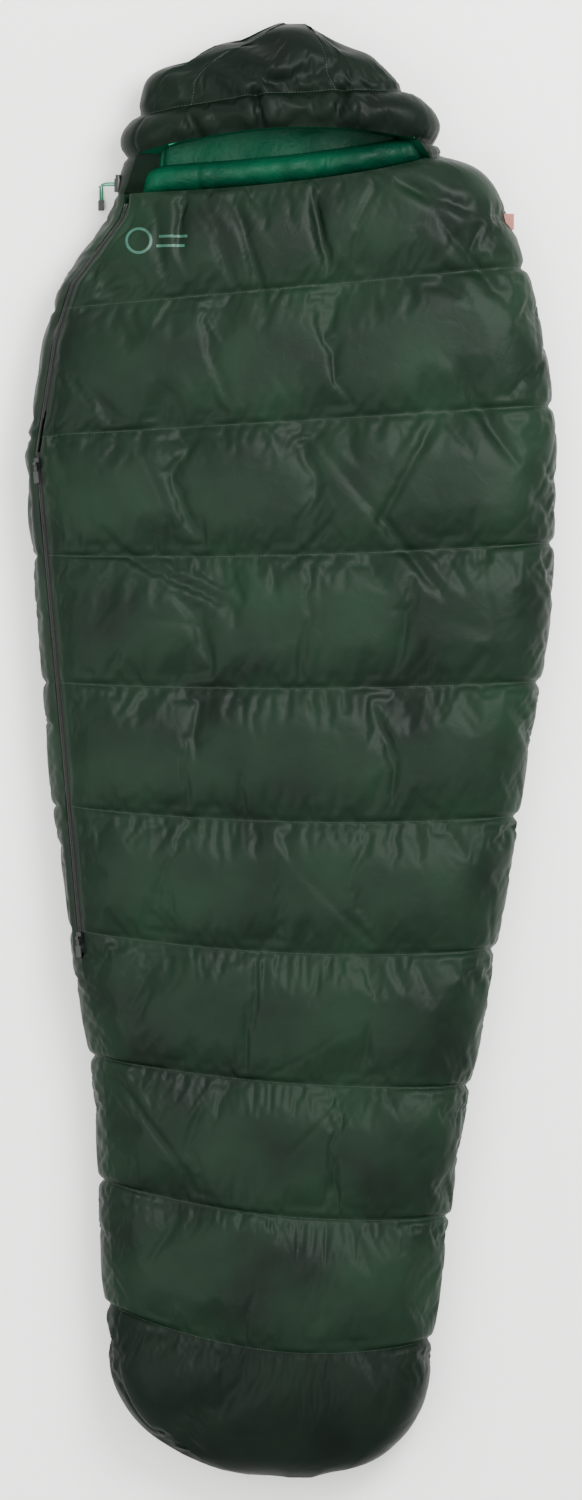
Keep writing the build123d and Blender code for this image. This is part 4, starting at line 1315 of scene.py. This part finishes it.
    def strands(self) -> None:
        """Lay the two free strands of the drawcord as curves."""
        routes = {"drawcord_free_head": self.HEAD_ROUTE, "drawcord_free_foot": self.FOOT_ROUTE}
        for (name, route), length in zip(routes.items(), self.STRAND_LENGTHS):
            points = [np.array(p) + [self.LOCK[0], self.LOCK[1], 0] for p in route]
            for _ in range(2):
                cut = [points[0]]
                for a, b in zip(points, points[1:]):
                    cut += [a * 0.8 + b * 0.2, a * 0.2 + b * 0.8]
                points = cut + [points[-1]]
            curve = bpy.data.curves.new(name, "CURVE")
            curve.dimensions = "3D"
            curve.bevel_depth = self.CORD / 2 * MM
            curve.bevel_resolution = 3
            line = curve.splines.new("NURBS")
            line.points.add(len(points) - 1)
            for place, point in zip(line.points, points):
                place.co = (*(point * MM), 1.0)
            line.order_u = 3
            line.use_endpoint_u = True
            line.resolution_u = 6
            obj = bpy.data.objects.new(name, curve)
            bpy.context.scene.collection.objects.link(obj)
            obj.data.materials.append(self.finishes.cord)
            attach(obj, "root")
            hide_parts(name.replace("free", "strand"))

    def fixed_nodes(self) -> None:
        """Give the frame's own visible nodes their finishes and soften their edges."""
        f = self.finishes
        finish_of = {
            f.tape: ("zip_tape_upper", "zip_tape_lower", "flap_zip_tape"),
            f.zip_metal: ("zip_stop_lower", "flap_zip_stop", "zip_end_box"),
            f.slider: ("top_slider", "foot_slider", "top_pull", "foot_pull"),
            f.grip: ("top_pull_grip", "foot_pull_grip"),
            f.lock: ("cord_lock_barrel", "cord_lock_plunger", "drawcord_end"),
            f.spring: ("cord_lock_spring",),
            f.cord: ("hood_drawcord",),
            f.lining: ("draft_tube",),
            f.label: ("side_label",),
        }
        for material, nodes in finish_of.items():
            for name in nodes:
                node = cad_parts[name]
                node.data.materials.clear()
                node.data.materials.append(material)
        for name in ("top_slider", "foot_slider", "top_pull", "foot_pull", "cord_lock_barrel",
                     "cord_lock_plunger", "drawcord_end", "zip_end_box"):
            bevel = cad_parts[name].modifiers.new("Soft edges", "BEVEL")
            bevel.width, bevel.segments, bevel.limit_method = 0.25 * MM, 2, "ANGLE"

    def make(self) -> None:
        """Make the whole bag."""
        self.quilts()
        self.linings()
        self.collar()
        repeat = Repeat()
        self.zip_teeth(repeat)
        self.stitches(repeat)
        self.print_mark()
        self.strands()
        self.fixed_nodes()


# ---------------------------------------------------------------------------- studio
class Studio:
    """The pale floor, the lights and the camera."""

    def __init__(self, sizes: StudioSizes, finishes: Finishes) -> None:
        """Keep the sizes and the finishes."""
        self.sizes, self.finishes = sizes, finishes

    def light(self, name: str, place: tuple, size: tuple, power: float) -> None:
        """Add an area light that looks at the bag's middle.

        Args:
            name: the light's name.
            place: where it is, in metres.
            size: its width and height, in metres.
            power: in watts.
        """
        data = bpy.data.lights.new(name, "AREA")
        data.shape = "RECTANGLE"
        data.size, data.size_y = size
        data.energy = power
        obj = bpy.data.objects.new(name, data)
        obj.location = place
        obj.rotation_euler = (-Vector(place)).to_track_quat("-Z", "Y").to_euler()
        bpy.context.scene.collection.objects.link(obj)

    def make(self) -> None:
        """Set up the studio."""
        s = self.sizes
        half = s.floor / 2
        floor = mesh_object("studio_floor", np.array([
            (-half, -half, -0.0008), (half, -half, -0.0008), (half, half, -0.0008), (-half, half, -0.0008)
        ]), [(0, 1, 2, 3)])
        floor.data.materials.append(self.finishes.plain(FLOOR_PAPER))
        self.light("key", (1.3, 1.5, 2.9), (1.5, 1.8), s.key)
        self.light("fill", (-1.4, -0.6, 3.4), (2.5, 2.5), s.fill)
        self.light("rim", (-0.6, 3.0, 1.6), (2.4, 1.2), s.rim)
        world = bpy.data.worlds.new("studio")
        world.use_nodes = True
        back = world.node_tree.nodes["Background"]
        back.inputs["Color"].default_value = (1, 1, 1, 1)
        back.inputs["Strength"].default_value = s.world
        bpy.context.scene.world = world
        camera = bpy.data.cameras.new("camera")
        camera.lens, camera.sensor_width, camera.sensor_fit = s.lens, 36.0, "AUTO"
        far = s.view_height * s.lens / 36.0
        camera.clip_start, camera.clip_end = far * 0.2, far * 3
        obj = bpy.data.objects.new("camera", camera)
        obj.location = (0.0, 0.0, far + 0.07)
        bpy.context.scene.collection.objects.link(obj)
        bpy.context.scene.camera = obj


def main() -> None:
    """Make the bag and the studio."""
    logging.basicConfig(level=logging.INFO)
    finishes = Finishes()
    Studio(StudioSizes(), finishes).make()
    SleepingBag(finishes).make()


if __name__ == "__main__":
    main()
